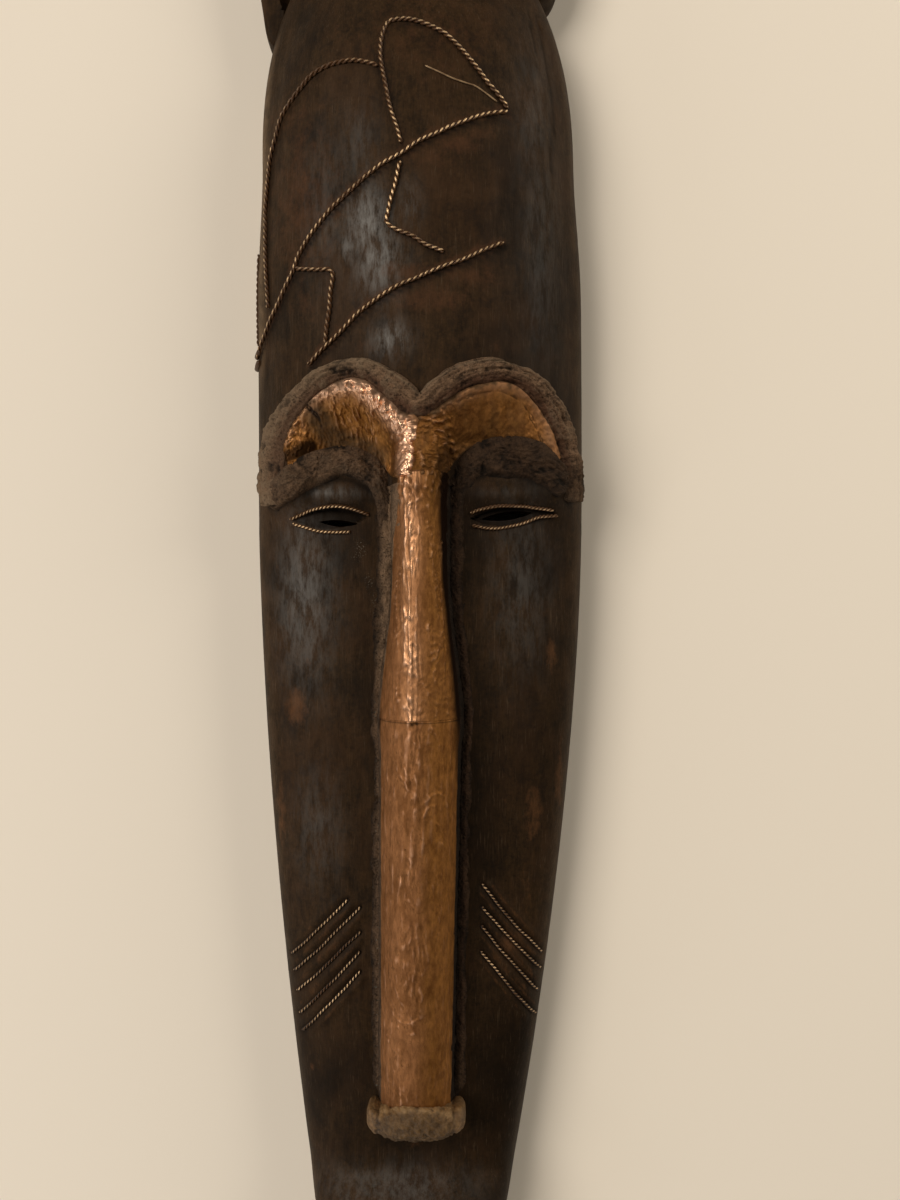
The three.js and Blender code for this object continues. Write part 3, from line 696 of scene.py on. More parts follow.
carving = {
    "eyes": [
        {"left": (-68, 43.5), "right": (-29, 45), "slit": ((-54, 42.5), (-33, 41.2)), "up": 1.6, "down": 2.0},
        {"left": (29, 44), "right": (74, 47), "slit": ((34, 44), (62, 47.5)), "up": 2.4, "down": 2.4},
    ],
    "mouth": {"left": (-30, -362), "right": (20, -362)}, "lipGap": 3, "mouthFloor": 50,
    "eyeFloor": 48, "eyeTilt": 0.21, "eyeRise": 5.6, "eyeFall": 5.4, "eyeball": 2.2,
    "grooveDepth": 0.7, "grooveWidth": 1.3, "lipRise": 0.7, "hollowDepth": 1.2, "crackDepth": 0.55,
    "nick": (-18.5, 143.5),
    "cracks": [
        [(66, 316), (69.5, 296), (72.5, 276), (74, 256)], [(60, 322), (62.5, 306), (64, 296)],
        [(71, 246), (72.5, 232)], [(-84, 182), (-84.5, 168)],
    ],
    # Painted shadow lines below the lower bands' edges, over the eyelids.
    "bandShadowLines": [
        [(-60.8, 57.2), (-54, 61.5), (-47.5, 64.8), (-40, 65.2), (-34.3, 63.8), (-23, 57.2)],
        [(30, 65.8), (37, 68.5), (45, 69.7), (53, 68.2), (60.2, 64.8), (71.5, 61)],
    ],
    # Soft spots of polish with painted sheen, of rubbing, of painted shade and of stain: X, Y, reach along X,
    # reach along Y and strength.
    "specks": [
        (-31.5, 28, 2.2, 3.6, 1.0), (-34, 23, 2, 2, 0.7), (-27, 10, 1.5, 4, 0.6), (-24, -4, 1.5, 6, 0.5),
    ],
    "sheen": [
        (-25, 196, 11, 16, 1.0), (-19, 176, 11, 17, 1.0), (-36, 184, 5, 8, 0.6), (-14, 135, 9, 9, 0.9),
        (-4, 205, 6, 12, 0.4), (-62, 2, 15, 46, 0.6), (55, 8, 15, 44, 0.3), (-50, 206, 14, 40, 0.2),
        (66, 190, 10, 60, 0.2), (62, 262, 10, 40, 0.2), (-30, 235, 10, 22, 0.2), (-46, 58, 16, 4, 0.5),
        (50, 58, 16, 4, 0.15), (-12, -320, 36, 11, 0.38), (-55, -125, 13, 30, 0.3),
    ],
    "rub": [
        (-67, -59, 8, 13, 1.1), (-60, -36, 5, 9, 0.6), (63, -116, 7, 22, 0.85), (73, -30, 5, 14, 0.8),
        (-77, -118, 4, 26, 0.9), (78, -98, 4, 30, 0.8), (-61, 222, 6, 26, 0.6), (60, -160, 9, 26, 0.5),
        (45, -110, 7, 30, 0.45), (34, -60, 5, 60, 0.35), (50, -188, 11, 14, 0.75), (-59.5, -259, 2, 3, 1.0),
        (-50, -178, 8, 8, 0.6), (-3, -296, 8, 8, 0.7), (4, 288, 12, 6, 0.35), (-78, 0, 3, 60, 0.35),
    ],
    "shade": [
        (48, -265, 30, 60, 1.0), (35, -120, 18, 90, 0.8), (27, 40, 12, 34, 0.8), (62, -80, 30, 60, 0.5),
        (10, -298, 60, 12, 0.7), (-22, -60, 8, 120, 0.15), (-50, -260, 24, 40, 0.4),
        (60, 170, 34, 60, 0.35), (64, 0, 28, 120, 0.4), (55, -320, 20, 60, 0.7),
    ],
    "stain": [
        (6, 230, 14, 6, 0.9), (20, 236, 13, 6, 1.0), (33, 243, 10, 5, 0.8), (16, 297, 12, 5, 0.7),
        (44, 258, 6, 6, 0.8), (-6, 170, 17, 6, 0.9), (8, 156, 24, 9, 0.85), (28, 168, 16, 7, 0.8),
        (-59, 221, 6, 16, 0.75), (-62, 160, 12, 18, 0.45), (-32, 130, 14, 8, 0.4), (10, 185, 10, 5, 0.5),
        (-20, 310, 16, 10, 0.4), (40, 130, 14, 10, 0.35), (-78, 265, 8, 14, 0.4), (-62, 210, 24, 50, 0.75),
        (0, 300, 60, 36, 0.5), (-64, 255, 20, 24, 0.45),
    ],
    "wireStain": {
        "crest_loop_wire": 0.5, "neck_wire": 0.5, "long_diagonal_wire": 0.9, "bracket_wire": 0.5,
        "lower_diagonal_wire": 1.0, "outer_loop_wire": 0.4,
    },
}


# A bow from 0 to 1 and back: the sine of half a turn, to the power 0.8.
def bow(t):
    return np.sin(math.pi * clamp01(t)) ** 0.8


# How far a place is inside an almond, negative outside: a line from corner to corner, bowed up and down.
def almondInside(corners, up, down, x, y):
    (leftX, leftY), (rightX, rightY) = corners["left"], corners["right"]
    t = (x - leftX) / (rightX - leftX)
    line = mix(leftY, rightY, t)
    return np.where((t > 0) & (t < 1), np.minimum(line + up * bow(t) - y, y - line + down * bow(t)), -9.0)


# 1 beside a straight wire, 0 past its ends.
def besideWire(wire, x, y):
    (ax, ay), (bx, by) = wire[0], wire[-1]
    t = ((x - ax) * (bx - ax) + (y - ay) * (by - ay)) / ((bx - ax) ** 2 + (by - ay) ** 2)
    return smooth(t / 0.1) * smooth((1 - t) / 0.1)


# A bell round one place, with its own reach along X and Y.
def spot(x, y, placeX, placeY, reachX, reachY):
    return bump(np.hypot((x - placeX) / reachX, (y - placeY) / reachY))


# The strongest of a list of spots at each place.
def spots(listed, x, y):
    return np.maximum.reduce([strength * spot(x, y, *place) for *place, strength in listed])


# The strongest of a list of soft lines at each place: bells of the distance to each line.
def drawn(lines, x, y, width, spacing=4):
    return np.maximum.reduce([bump(distanceTo(line, x, y, spacing), width) for line in lines])


# The slanting nick over the brow: a bell whose X slides with Y.
def nickAt(x, y, reachX, reachY):
    nickX, nickY = carving["nick"]
    return spot(x - (y - nickY), y, nickX, nickY, reachX, reachY)


# A form cut down to a floor where inside is above 0, with a rounded edge.
def sunk(z, floor, inside):
    return mix(z, np.minimum(z, floor), smooth(inside / 0.9 + 0.5))


# The front with its fine carving: sunk eyes and mouth, grooves under the cheek wires with a lip on each side,
# shallow adze hollows, cracks and a nick.
def carvedHeight(x, y):
    underNose = smooth((sheetHalf(y) + 9 - np.abs(x - noseX(y))) / 5) * smooth((72 - y) / 6)
    underBrow = smooth(3.4 - 2.4 * np.hypot((np.abs(x) - 36) / 50, (y - 92) / 34))
    adze = 0.45 * noiseOn(x, y, (16, 46), 11, 2) + 0.12 * noiseOn(x, y, (4, 15), 12, 2)
    z = frontHeight(x, y) + (1 - np.maximum(underNose, underBrow)) * adze
    for wire in cheekWires.values():
        distance = distanceTo(wire, x, y, 6)
        z = z - carving["grooveDepth"] * bump(distance, carving["grooveWidth"])
        z = z + carving["lipRise"] * bump(distance - 3.8, 1.6) * besideWire(wire, x, y)
    wander = 0.6 * noiseOn(x, y, (5, 4), 13)
    for crack in carving["cracks"]:
        z = z - carving["crackDepth"] * bump(distanceTo(crack, x + wander, y, 4), 0.6)
    z = z - carving["hollowDepth"] * spot(x - 0.5 * (y - 84), y - 0.2 * (x + 61), -61, 84, 9.5, 7)
    z = z - carving["hollowDepth"] * nickAt(x, y, 2.6, 1.1)
    for eye in carving["eyes"]:
        middleX, middleY = np.add(eye["left"], eye["right"]) / 2
        ball = carving["eyeball"] * ellipse(np.hypot((x - middleX) / 21, (y - middleY) / 7.5))
        floor = carving["eyeFloor"] - carving["eyeTilt"] * (y - middleY) + ball
        z = sunk(z, floor, almondInside(eye, carving["eyeRise"], carving["eyeFall"], x, y))
    inside = almondInside(carving["mouth"], carving["lipGap"], carving["lipGap"], x, y)
    return sunk(z, carving["mouthFloor"], inside)


# The rows run down the mask, close together at the caps, brows, eyes and cheek grooves. The row through the
# eyes is doubled, and its two copies part inside each slit, so the slits are real openings through to the
# hollow.
cutY = 44.0
crownRun = wood["crownY"] - wood["crownCapStart"]
chinRun = wood["chinCapStart"] - wood["chinY"]
rowsAbove = np.concatenate([
    wood["crownCapStart"] + crownRun * np.cos(np.linspace(0, math.pi / 2, 52)[:-1]),
    np.arange(wood["crownCapStart"], 128, -2.2), np.arange(128, 58, -1.3), np.arange(58, cutY + 0.3, -0.65),
    [cutY],
])
rowsBelow = np.concatenate([
    [cutY], np.arange(cutY - 0.65, 30, -0.65), np.arange(30, -142, -2.4), np.arange(-142, -256, -1.15),
    np.arange(-256, -300, -1.7), np.arange(-300, wood["chinCapStart"], -1.8),
    wood["chinCapStart"] - chinRun * np.cos(np.linspace(math.pi / 2, 0, 26)[1:]),
])
rowY = np.concatenate([rowsAbove, rowsBelow])
cutRow = len(rowsAbove) - 1

# The columns follow the nose in the middle and spread to the rims, evenly along a typical section.
shares = np.linspace(0, 1, 400)
sectionHeight = 52 * ellipse(0.23 + 0.77 * shares, 4.0)
runLength = np.concatenate([[0], np.cumsum(np.hypot(np.diff(sectionHeight), np.diff(shares) * 72))])
sideShares = np.interp(np.linspace(0, runLength[-1], 70), runLength, shares)[1:]
noseShares = np.sin(np.linspace(-math.pi / 2, math.pi / 2, 37))


# Places of the outer grid, with the rows bent towards the eye slits and opened round them.
def outerPlaces():
    y = rowY[:, None]
    half = halfWidth(y)
    core = np.minimum(nose["coreShare"] * sheetHalf(y), half * 0.35)
    middle = np.clip(noseX(y), -half * 0.02, half * 0.02)
    left = mix(middle - core, centreX(y) - half, sideShares[::-1])
    right = mix(middle + core, centreX(y) + half, sideShares)
    x = np.concatenate([left, middle + core * noseShares, right], axis=1)
    y = np.broadcast_to(y, x.shape)
    slitLine = np.interp(x, (-90, -54, -33, 34, 62, 90), (42.5, 42.5, 41.2, 44, 47.5, 47.5))
    side = np.where(np.arange(len(rowY)) <= cutRow, 1, -1)[:, None]
    opening = np.zeros_like(x)
    for eye in carving["eyes"]:
        (leftX, _), (rightX, _) = eye["slit"]
        opening = opening + bow((x - leftX) / (rightX - leftX)) * np.where(side > 0, eye["up"], eye["down"])
    bent = (slitLine - cutY) * bump(y - cutY, 9) + side * opening * bump(y - cutY, 6)
    return x, y + bent, opening[cutRow]


# What the wood's finish reads: the listed spots, soft stain along wires, painted shadow lines below the wires
# and the bands, darker cracks, grooves, nick and eyes, and painted light along the side edge.
def woodMarks(x, y):
    stain = spots(carving["stain"], x, y)
    dark = [drawn(carving["cracks"], x, y, 0.9) * 0.6, drawn(carving["bandShadowLines"], x, y, 1.8) * 0.9]
    for name, strength in carving["wireStain"].items():
        stain = np.maximum(stain, strength * drawn([foreheadWires[name]], x, y, 3.5, 5))
        # Painted shadow: a dark line below and right of each wire, where its shadow falls.
        dark.append(1.4 * strength * drawn([foreheadWires[name]], x - 1.2, y + 1.6, 1.3, 5))
    # Painted shade inside each eye's almond, round the slit.
    for eye in carving["eyes"]:
        inside = almondInside(eye, carving["eyeRise"], carving["eyeFall"], x, y)
        dark.append(smooth(inside / 1.5 + 0.6) * 0.8)
    # Darker along the cheek-wire grooves.
    grooves = 0.6 * drawn(cheekWires.values(), x, y, 1.3, 6)
    wires = cheekWires.values()
    lips = [bump(distanceTo(wire, x, y, 6) - 3.6, 1.6) * besideWire(wire, x, y) for wire in wires]
    lips = 0.6 * np.maximum.reduce(lips) * (1 - grooves)
    q = (x - centreX(y)) / np.maximum(halfWidth(y), 1e-6)
    # The side mark paints light along the edge, strongest on the left forehead.
    leftForehead = smooth((y - 110) / 40) * smooth((320 - y) / 40) * (q < 0)
    return {
        "stain": stain, "rub": np.maximum(spots(carving["rub"], x, y), lips),
        "grimeAndShade": clamp01(np.maximum.reduce([grooves, 0.9 * nickAt(x, y, 3.4, 1.6), *dark])),
        "side": smooth((np.abs(q) - 0.9) / 0.05) * mix(0.12, 1.0, leftForehead), "inside": 0 * x,
        **{mark: spots(carving[mark], x, y) for mark in ("sheen", "shade", "specks")},
    }


lugs = {
    "height": 30, "round": 3, "steps": 96,
    "left": {
        "outline": [
            (-58, 317), (-81, 317), (-84, 320), (-87, 339), (-91, 365), (-92, 392), (-86, 414), (-76, 424),
            (-65, 420), (-56, 404), (-48, 380), (-44, 350),
        ],
        "scoop": {"x": -71, "y": 368, "halfWidth": 12, "halfHeight": 40, "depth": 17},
    },
    "right": {
        "outline": [
            (46, 350), (52, 339), (66, 342), (75, 352), (80, 374), (81, 398), (77, 416), (68, 426),
            (57, 422), (48, 405), (42, 380),
        ],
        "scoop": {"x": 63, "y": 386, "halfWidth": 10, "halfHeight": 32, "depth": 17},
    },
}


# A lug: rings from the middle of its front out to its outline, round its edge and down to its root. The front
# is scooped by an ellipsoid, and the root stays inside the wall, clear of the hollow and just above the flat
# rim.
def lug(outline, scoop):
    line = smoothLine(outline + outline[:1], count=lugs["steps"])[:-1]
    centre = line.mean(axis=0)
    tangent = np.roll(line, -1, axis=0) - np.roll(line, 1, axis=0)
    outwards = unit(np.stack([tangent[:, 1], -tangent[:, 0]], axis=1))
    outwards = outwards * np.sign(((line - centre) * outwards).sum())
    rings = []
    for share in np.linspace(0, 1, 26)[:-1]:
        x, y = (centre + (line - centre) * share).T
        reach = np.hypot((x - scoop["x"]) / scoop["halfWidth"], (y - scoop["y"]) / scoop["halfHeight"])
        bowl = lugs["height"] + lugs["round"] - scoop["depth"] * np.sqrt(np.maximum(0, 1 - reach**2))
        rings.append(np.column_stack([x, y, np.minimum(lugs["height"], bowl)]))
    angles = np.linspace(0, math.pi / 2, 6)
    edge = [(lugs["round"] * math.sin(a), lugs["height"] - lugs["round"] * (1 - math.cos(a))) for a in angles]
    for out, height in edge + [(3, 22), (3, 17), (3, 12), (3, 7), (3, 3), (1.5, 0.6), (0, 0)]:
        rings.append(np.column_stack([line + outwards * out, np.full(len(line), height)]))
    rings.append(np.column_stack([np.broadcast_to(centre, line.shape), np.zeros(len(line))]))
    points = np.stack(rings)
    points[1:-2] += 0.25 * noiseAt(points[1:-2], (9, 22, 9), 21, 2)[..., None] * np.array([1, 1, 0.6])
    x, y, z = np.moveaxis(points, -1, 0)
    fromCentre = x - centreX(y)
    inWall = halfWidth(y, wood["wall"] / 2)
    points[..., 0] = centreX(y) + np.sign(fromCentre) * np.maximum(np.abs(fromCentre), inWall)
    points[..., 2] = np.maximum(z, 0.8 * smooth((halfWidth(y) - np.abs(fromCentre)) / 1.5))
    return points.reshape(-1, 3), tubeFaces(*points.shape[:2])


# Places of the hollow under places of the outer grid: pulled in by the wall's thickness at the caps and the
# sides.
def hollowPlaces(x, y):
    upper = wood["crownCapStart"] + (y - wood["crownCapStart"]) * (crownRun - wood["wall"]) / crownRun
    lower = wood["chinCapStart"] + (y - wood["chinCapStart"]) * (chinRun - wood["wall"]) / chinRun
    hollowY = np.where(y > wood["crownCapStart"], upper, np.where(y < wood["chinCapStart"], lower, y))
    fromCentre = np.abs(x - centreX(y))
    half, halfIn = halfWidth(y), halfWidth(hollowY, wood["wall"])
    bend = np.minimum(0.62 * half, halfIn)
    squeezed = bend + (fromCentre - bend) * (halfIn - bend) / np.maximum(half - bend, 1e-6)
    pulled = np.where(fromCentre < bend, fromCentre, squeezed)
    hollowX = centreX(hollowY) + np.sign(x - centreX(y)) * pulled
    z = hollowHeight(hollowX, hollowY) + 0.9 * noiseOn(hollowX, hollowY, (15, 24), 41, 2)
    return hollowX, hollowY, z


# The wood in one closed shell: the carved front, the hollow, the flat rim between them, the slits' walls and
# the lugs.
def buildWood():
    x, y, opening = outerPlaces()
    z = np.maximum(carvedHeight(x, y), 0)
    outer = numbered(*x.shape)
    closed = opening <= 1e-9
    outer[cutRow + 1, closed] = outer[cutRow, closed]

    # The hollow takes every third row and sixth column of the same grid, and all columns of the slits.
    rows = np.unique(np.concatenate([np.arange(0, len(rowY), 3), [cutRow, cutRow + 1, len(rowY) - 1]]))
    rows = rows[(rows < cutRow - 1) | (rows > cutRow + 2) | (rows == cutRow) | (rows == cutRow + 1)]
    nearSlit = np.convolve(~closed, np.ones(3), "same") > 0
    lastColumn = np.arange(x.shape[1]) == x.shape[1] - 1
    columns = np.flatnonzero(nearSlit | (np.arange(x.shape[1]) % 6 == 0) | lastColumn)
    hollow = hollowPlaces(x[np.ix_(rows, columns)], y[np.ix_(rows, columns)])
    for height in (z, hollow[2]):
        height[:, (0, -1)] = 0
        height[(0, -1), :] = 0
    inner = numbered(len(rows), len(columns), x.size)
    split = int(np.flatnonzero(rows == cutRow)[0])
    inner[split + 1, closed[columns]] = inner[split, closed[columns]]
    faces = [gridFaces(outer[: cutRow + 1]), gridFaces(outer[cutRow + 1 :])]
    faces += [gridFaces(inner[: split + 1])[:, ::-1], gridFaces(inner[split + 1 :])[:, ::-1]]

    # The flat rim joins each outer edge to the hollow's, and fans fill in between the hollow's fewer rows.
    owner = np.searchsorted(rows, np.arange(len(rowY)), side="right") - 1
    for column, turn in ((0, 1), (-1, -1)):
        edge, innerEdge = outer[:, column], inner[:, column]
        fans = np.column_stack([edge[:-1], innerEdge[owner[:-1]], edge[1:]])
        joints = np.column_stack([innerEdge[:-1], innerEdge[1:], edge[rows[1:]]])
        faces.append(np.concatenate([fans, joints])[:, ::turn])

    # The walls of the slits.
    for step, turn in ((0, 1), (1, -1)):
        outerRow, innerRow = outer[cutRow + step], inner[split + step]
        band = gridFaces(np.stack([outerRow[columns], innerRow]))
        shut = np.isin(band, np.concatenate([outerRow[closed], innerRow[closed[columns]]]))
        faces.append(band[~shut.all(axis=1)][:, ::turn])
    points = np.concatenate([np.stack(grid, -1).reshape(-1, 3) for grid in ((x, y, z), hollow)])
    unmarked = np.zeros(hollow[0].size)
    marks = {mark: np.concatenate([values.ravel(), unmarked]) for mark, values in woodMarks(x, y).items()}
    marks["inside"][x.size :] = 1
    parts = [(points, wholeFaces(np.concatenate(faces)), marks)]
    for side in ("left", "right"):
        lugPoints, lugFaces = lug(**lugs[side])
        unmarked = {mark: np.zeros(len(lugPoints)) for mark in marks}
        parts.append((lugPoints, facingOut(lugPoints, lugFaces), unmarked))
    addPiece("carvedWood", "wood", "mask_body", *joined(parts), sharp=55)


buildWood()
print("wood carved")

# Resin: brow, seams and the roll at the nose's end

resin = {
    "step": 0.6, "columns": 40, "browRise": 6.0, "browCrest": 0.45, "bandCrest": -0.3, "lump": 2.3,
    "grain": 0.8,
    "seamTop": 62, "leftSeam": 9.5, "rightSeam": 12,
    # The marks that the finish reads, with their usual values.
    "usual": {"cold": 0, "red": 0, "pale": 0, "flecks": 0, "fadeAndShade": 0, "unshaded": 1},
    # Places along the brow: X, Y and width.
    "brow": [
        (-78, 52, 12), (-80, 66, 13), (-78, 83, 14), (-71.5, 96, 13), (-62, 107, 12), (-50, 116, 11),
        (-37, 120, 10), (-24, 118, 12), (-12, 110, 14), (0.5, 101, 14), (12, 109, 14), (24, 116, 14),
        (38, 119, 13), (51, 118, 12), (62, 112, 12), (71, 101, 13), (77.5, 88, 12), (81.5, 74, 12),
        (83, 62, 10), (81.5, 54, 6),
    ],
    # Places along each lower band: X, Y, width and rise. The inner ends run out flat into the seams.
    "leftBand": [
        (-82, 54, 16, 4), (-74, 60, 18, 5.4), (-65, 65.5, 19, 6), (-55, 71, 19, 6), (-45, 74.5, 18, 5.6),
        (-36, 75, 18, 5), (-28, 71, 17, 3.6), (-22, 63, 13, 2.2), (-19.5, 54, 10, 1.2), (-18.5, 42, 9, 0.4),
        (-18, 30, 8, 0),
    ],
    "rightBand": [
        (20, 30, 8, 0), (20.3, 44, 9, 0.4), (21, 56, 11, 1), (24, 67, 15, 1.8), (31, 74, 19, 2.8),
        (40, 77, 22, 3.6), (51, 77, 23, 4), (61, 75, 22, 4.2), (70, 70, 21, 4.2), (80, 61, 15, 3.2),
    ],
    # Loose fibres on the right ridge: X, Y and the height over the wood.
    "looseFibres": [
        [(36, 121.5, 5), (40, 123.2, 5.6), (44, 123, 5.6), (48, 121, 5)],
        [(53, 118.8, 5), (58, 118.2, 5), (63, 117, 4.6), (68, 114.6, 4)],
        [(58, 116.5, 5), (63, 114.5, 5), (68.5, 109.5, 4.4)],
        [(66, 111, 5), (71, 106.5, 5), (74.5, 100, 4.2)],
    ],
}


# Places of a band: a smooth middle line with its width, and even steps from one side to the other.
def bandPlaces(line):
    middle = smoothLine(line, resin["step"])
    tangent = unit(np.gradient(middle[:, :2], axis=0))
    across = np.linspace(-1, 1, resin["columns"])
    reach = across[None, :] * middle[:, 2:3] / 2
    x = middle[:, 0:1] - tangent[:, 1:2] * reach
    y = middle[:, 1:2] + tangent[:, 0:1] * reach
    along = np.arange(len(middle))[:, None] * resin["step"] + 0 * reach
    return x, y, along, np.broadcast_to(across, x.shape), reach, middle


# Rise over a band: steep outside its crest and a long slope inside it, with lumps, grit and fibres along it
# that shrink where the band runs out, sunk below the wood at ragged edges.
def roughRise(x, y, along, across, reach, rise, seed, crest, fibre):
    wander = across + 0.24 * noiseOn(along, 9 * np.sign(across), (11, 3), seed, 3)
    outside = ellipse((wander - crest) / (1 - crest), 2.2)
    inside = 1 - clamp01((crest - wander) / (1 + crest)) ** 1.7
    profile = np.where(wander > crest, outside, inside)
    lumps = resin["lump"] * noiseOn(x, y, 7, seed + 1, 3) + resin["grain"] * noiseOn(x, y, 1.5, seed + 2, 2)
    fibres = crumple(reach, 0.14 * along, (1.1, 3.2), fibre, seed + 3, 0.0, 0.3)
    relief = (lumps + fibres) * np.minimum(1, rise / 2.5)
    return rise * profile + relief * smooth(profile * 1.8) - 0.8 * (1 - profile), relief


# The brow's ridge, its loose fibres and the two lower bands in one piece. Its marks follow the way across
# each band, from -1 inside to 1 outside, and the height of its lumps.
def buildBrow():
    x, y, along, across, reach, _ = bandPlaces(resin["brow"])
    fibre = mix(0.36, 0.62, smooth((x + 5) / 30))
    lift, relief = roughRise(x, y, along, across, reach, resin["browRise"], 51, resin["browCrest"], fibre)
    greyed = 0.75 * smooth((-10 - x) / 20) * mix(0.5, 1, smooth((across + 0.5) / 0.8))
    # Painted highlight along the outer edge and on lump tops; painted shade between lumps, in the hole and on
    # the right end's lower part.
    marks = {
        "pale": 0.9 * bump(across - 0.72, 0.1) + 0.5 * smooth((relief - 0.4) / 0.6) + greyed,
        "red": smooth((-across + 0.1) / 0.6) * smooth(np.minimum(along, along[-1] - along) / 22),
        "cold": smooth((across - 0.1) / 0.7) * 0.5, "fadeAndShade": 0.7 * smooth((84 - y) / 18) * (x > 0),
        "unshaded": clamp01(1.4 + 0.8 * relief - 0.9 * spot(x, y, 43.5, 120.8, 3.4, 1.0)),
    }
    parts = [layer(x, y, lift, resin["usual"], marks)]
    for places in resin["looseFibres"]:
        line = abovePoint(*smoothLine(places, 0.8).T)
        points, faces = strand(line, np.tile([0.0, 0.3, 0.95], (len(line), 1)), 0.42, 6)
        bright = {mark: np.full(points.shape[:2], float(mark in ("unshaded", "pale"))) for mark in resin["usual"]}
        parts.append((points, faces, bright))
    for line, seed, dark in ((resin["leftBand"], 61, 0.42), (resin["rightBand"], 71, 0.8)):
        x, y, along, across, reach, middle = bandPlaces(line)
        rise = middle[:, 3:4]
        lift, relief = roughRise(x, y, along, across, reach, rise, seed, resin["bandCrest"], 0.2)
        filled = smooth((across + 0.98) / 0.3) * (0.6 + 0.4 * smooth(rise / 4))
        # Painted highlight on lump tops; painted shade between lumps, along the inner edge, where the band
        # runs out and over the band, most on the right one.
        marks = {
            "pale": (0.6 - 0.5 * dark) * smooth((relief - 0.4) / 0.6), "cold": 0.5 - 0.4 * dark,
            "red": 0.5 * (dark > 0.5), "unshaded": clamp01(1.1 + 1.0 * relief) * filled, "fadeAndShade": dark,
        }
        parts.append(layer(x, y, lift, resin["usual"], marks))
    addPiece("browResin", "resin", "brow_resin", *joined(parts))


# A flat rough strip beside the nose copper. A low ridge runs along it, and its outer side fades into the
# wood.
def buildSeam(name, node, side, width, seed):
    onLeft = side < 0
    y = np.arange(resin["seamTop"], nose["endY"] - 9, -0.7)[:, None]
    start = -2.0 - 6.5 * smooth((y - 20) / 34) * onLeft
    width = width + 3.5 * smooth((y + 60) / 50) * onLeft
    out = mix(start, width, np.linspace(0, 1, 30)[None, :])
    x = noseX(y) + side * (sheetHalf(y) + out)
    y = np.broadcast_to(y, x.shape)
    edge = width - 2.2 + 2.2 * noiseOn(x, y, (5, 12), seed + 2, 3) - 5 * smooth((nose["endY"] + 8 - y) / 16)
    profile = smooth((out - start) / 2.0) * smooth((edge - out) / 4)
    lumps = 0.8 * noiseOn(x, y, (3, 6), seed, 4) + 0.3 * noiseOn(x, y, 1.1, seed + 1, 2)
    ridge = bump(out - 5.2 - 0.8 * noiseOn(x, y, (9, 20), seed + 3, 3), 2.4)
    lift = (0.3 + 0.4 * smooth((4 - out) / 4) + (0.2 if onLeft else 0.6) * ridge + lumps) * profile
    upper = smooth((y + 80) / 70)
    byCopper = smooth((7 - out) / 6) * (1 - 0.7 * upper)
    if onLeft:
        marks = {"cold": 0.5 * (1 - upper), "pale": 0.55 * upper, "flecks": 0.8 * byCopper}
        filled, faded = 1, mix(0.2, 0.0, upper)
    else:
        marks = {"red": 0.35 + 0.6 * ridge * smooth((y - nose["endY"] - 10) / 40), "flecks": 0.1 * byCopper}
        filled, faded = mix(0.3, 1, smooth((out - 2) / 5)), 0.85 - 0.3 * ridge
    # Painted shade: darker between lumps and at the copper's edge, with a black valley beside the copper on
    # the right seam.
    marks["unshaded"] = clamp01(1.0 + 1.1 * lumps) * (1 - 0.6 * bump(out - 0.6)) * filled
    # Painted shade down the right seam, which lies in the nose's shade; the outer edges darken as the resin
    # thins into the wood.
    marks["fadeAndShade"] = np.maximum(smooth((out - edge + 6) / 4.5), faded)
    addPiece(name, "resin", node, *layer(x, y, lift - 0.4 * (1 - profile), resin["usual"], marks))


roll = {"left": -27.6, "right": 25.4, "y": -275.6, "z": 60.5, "halfLength": 11.4, "depth": 15.6}


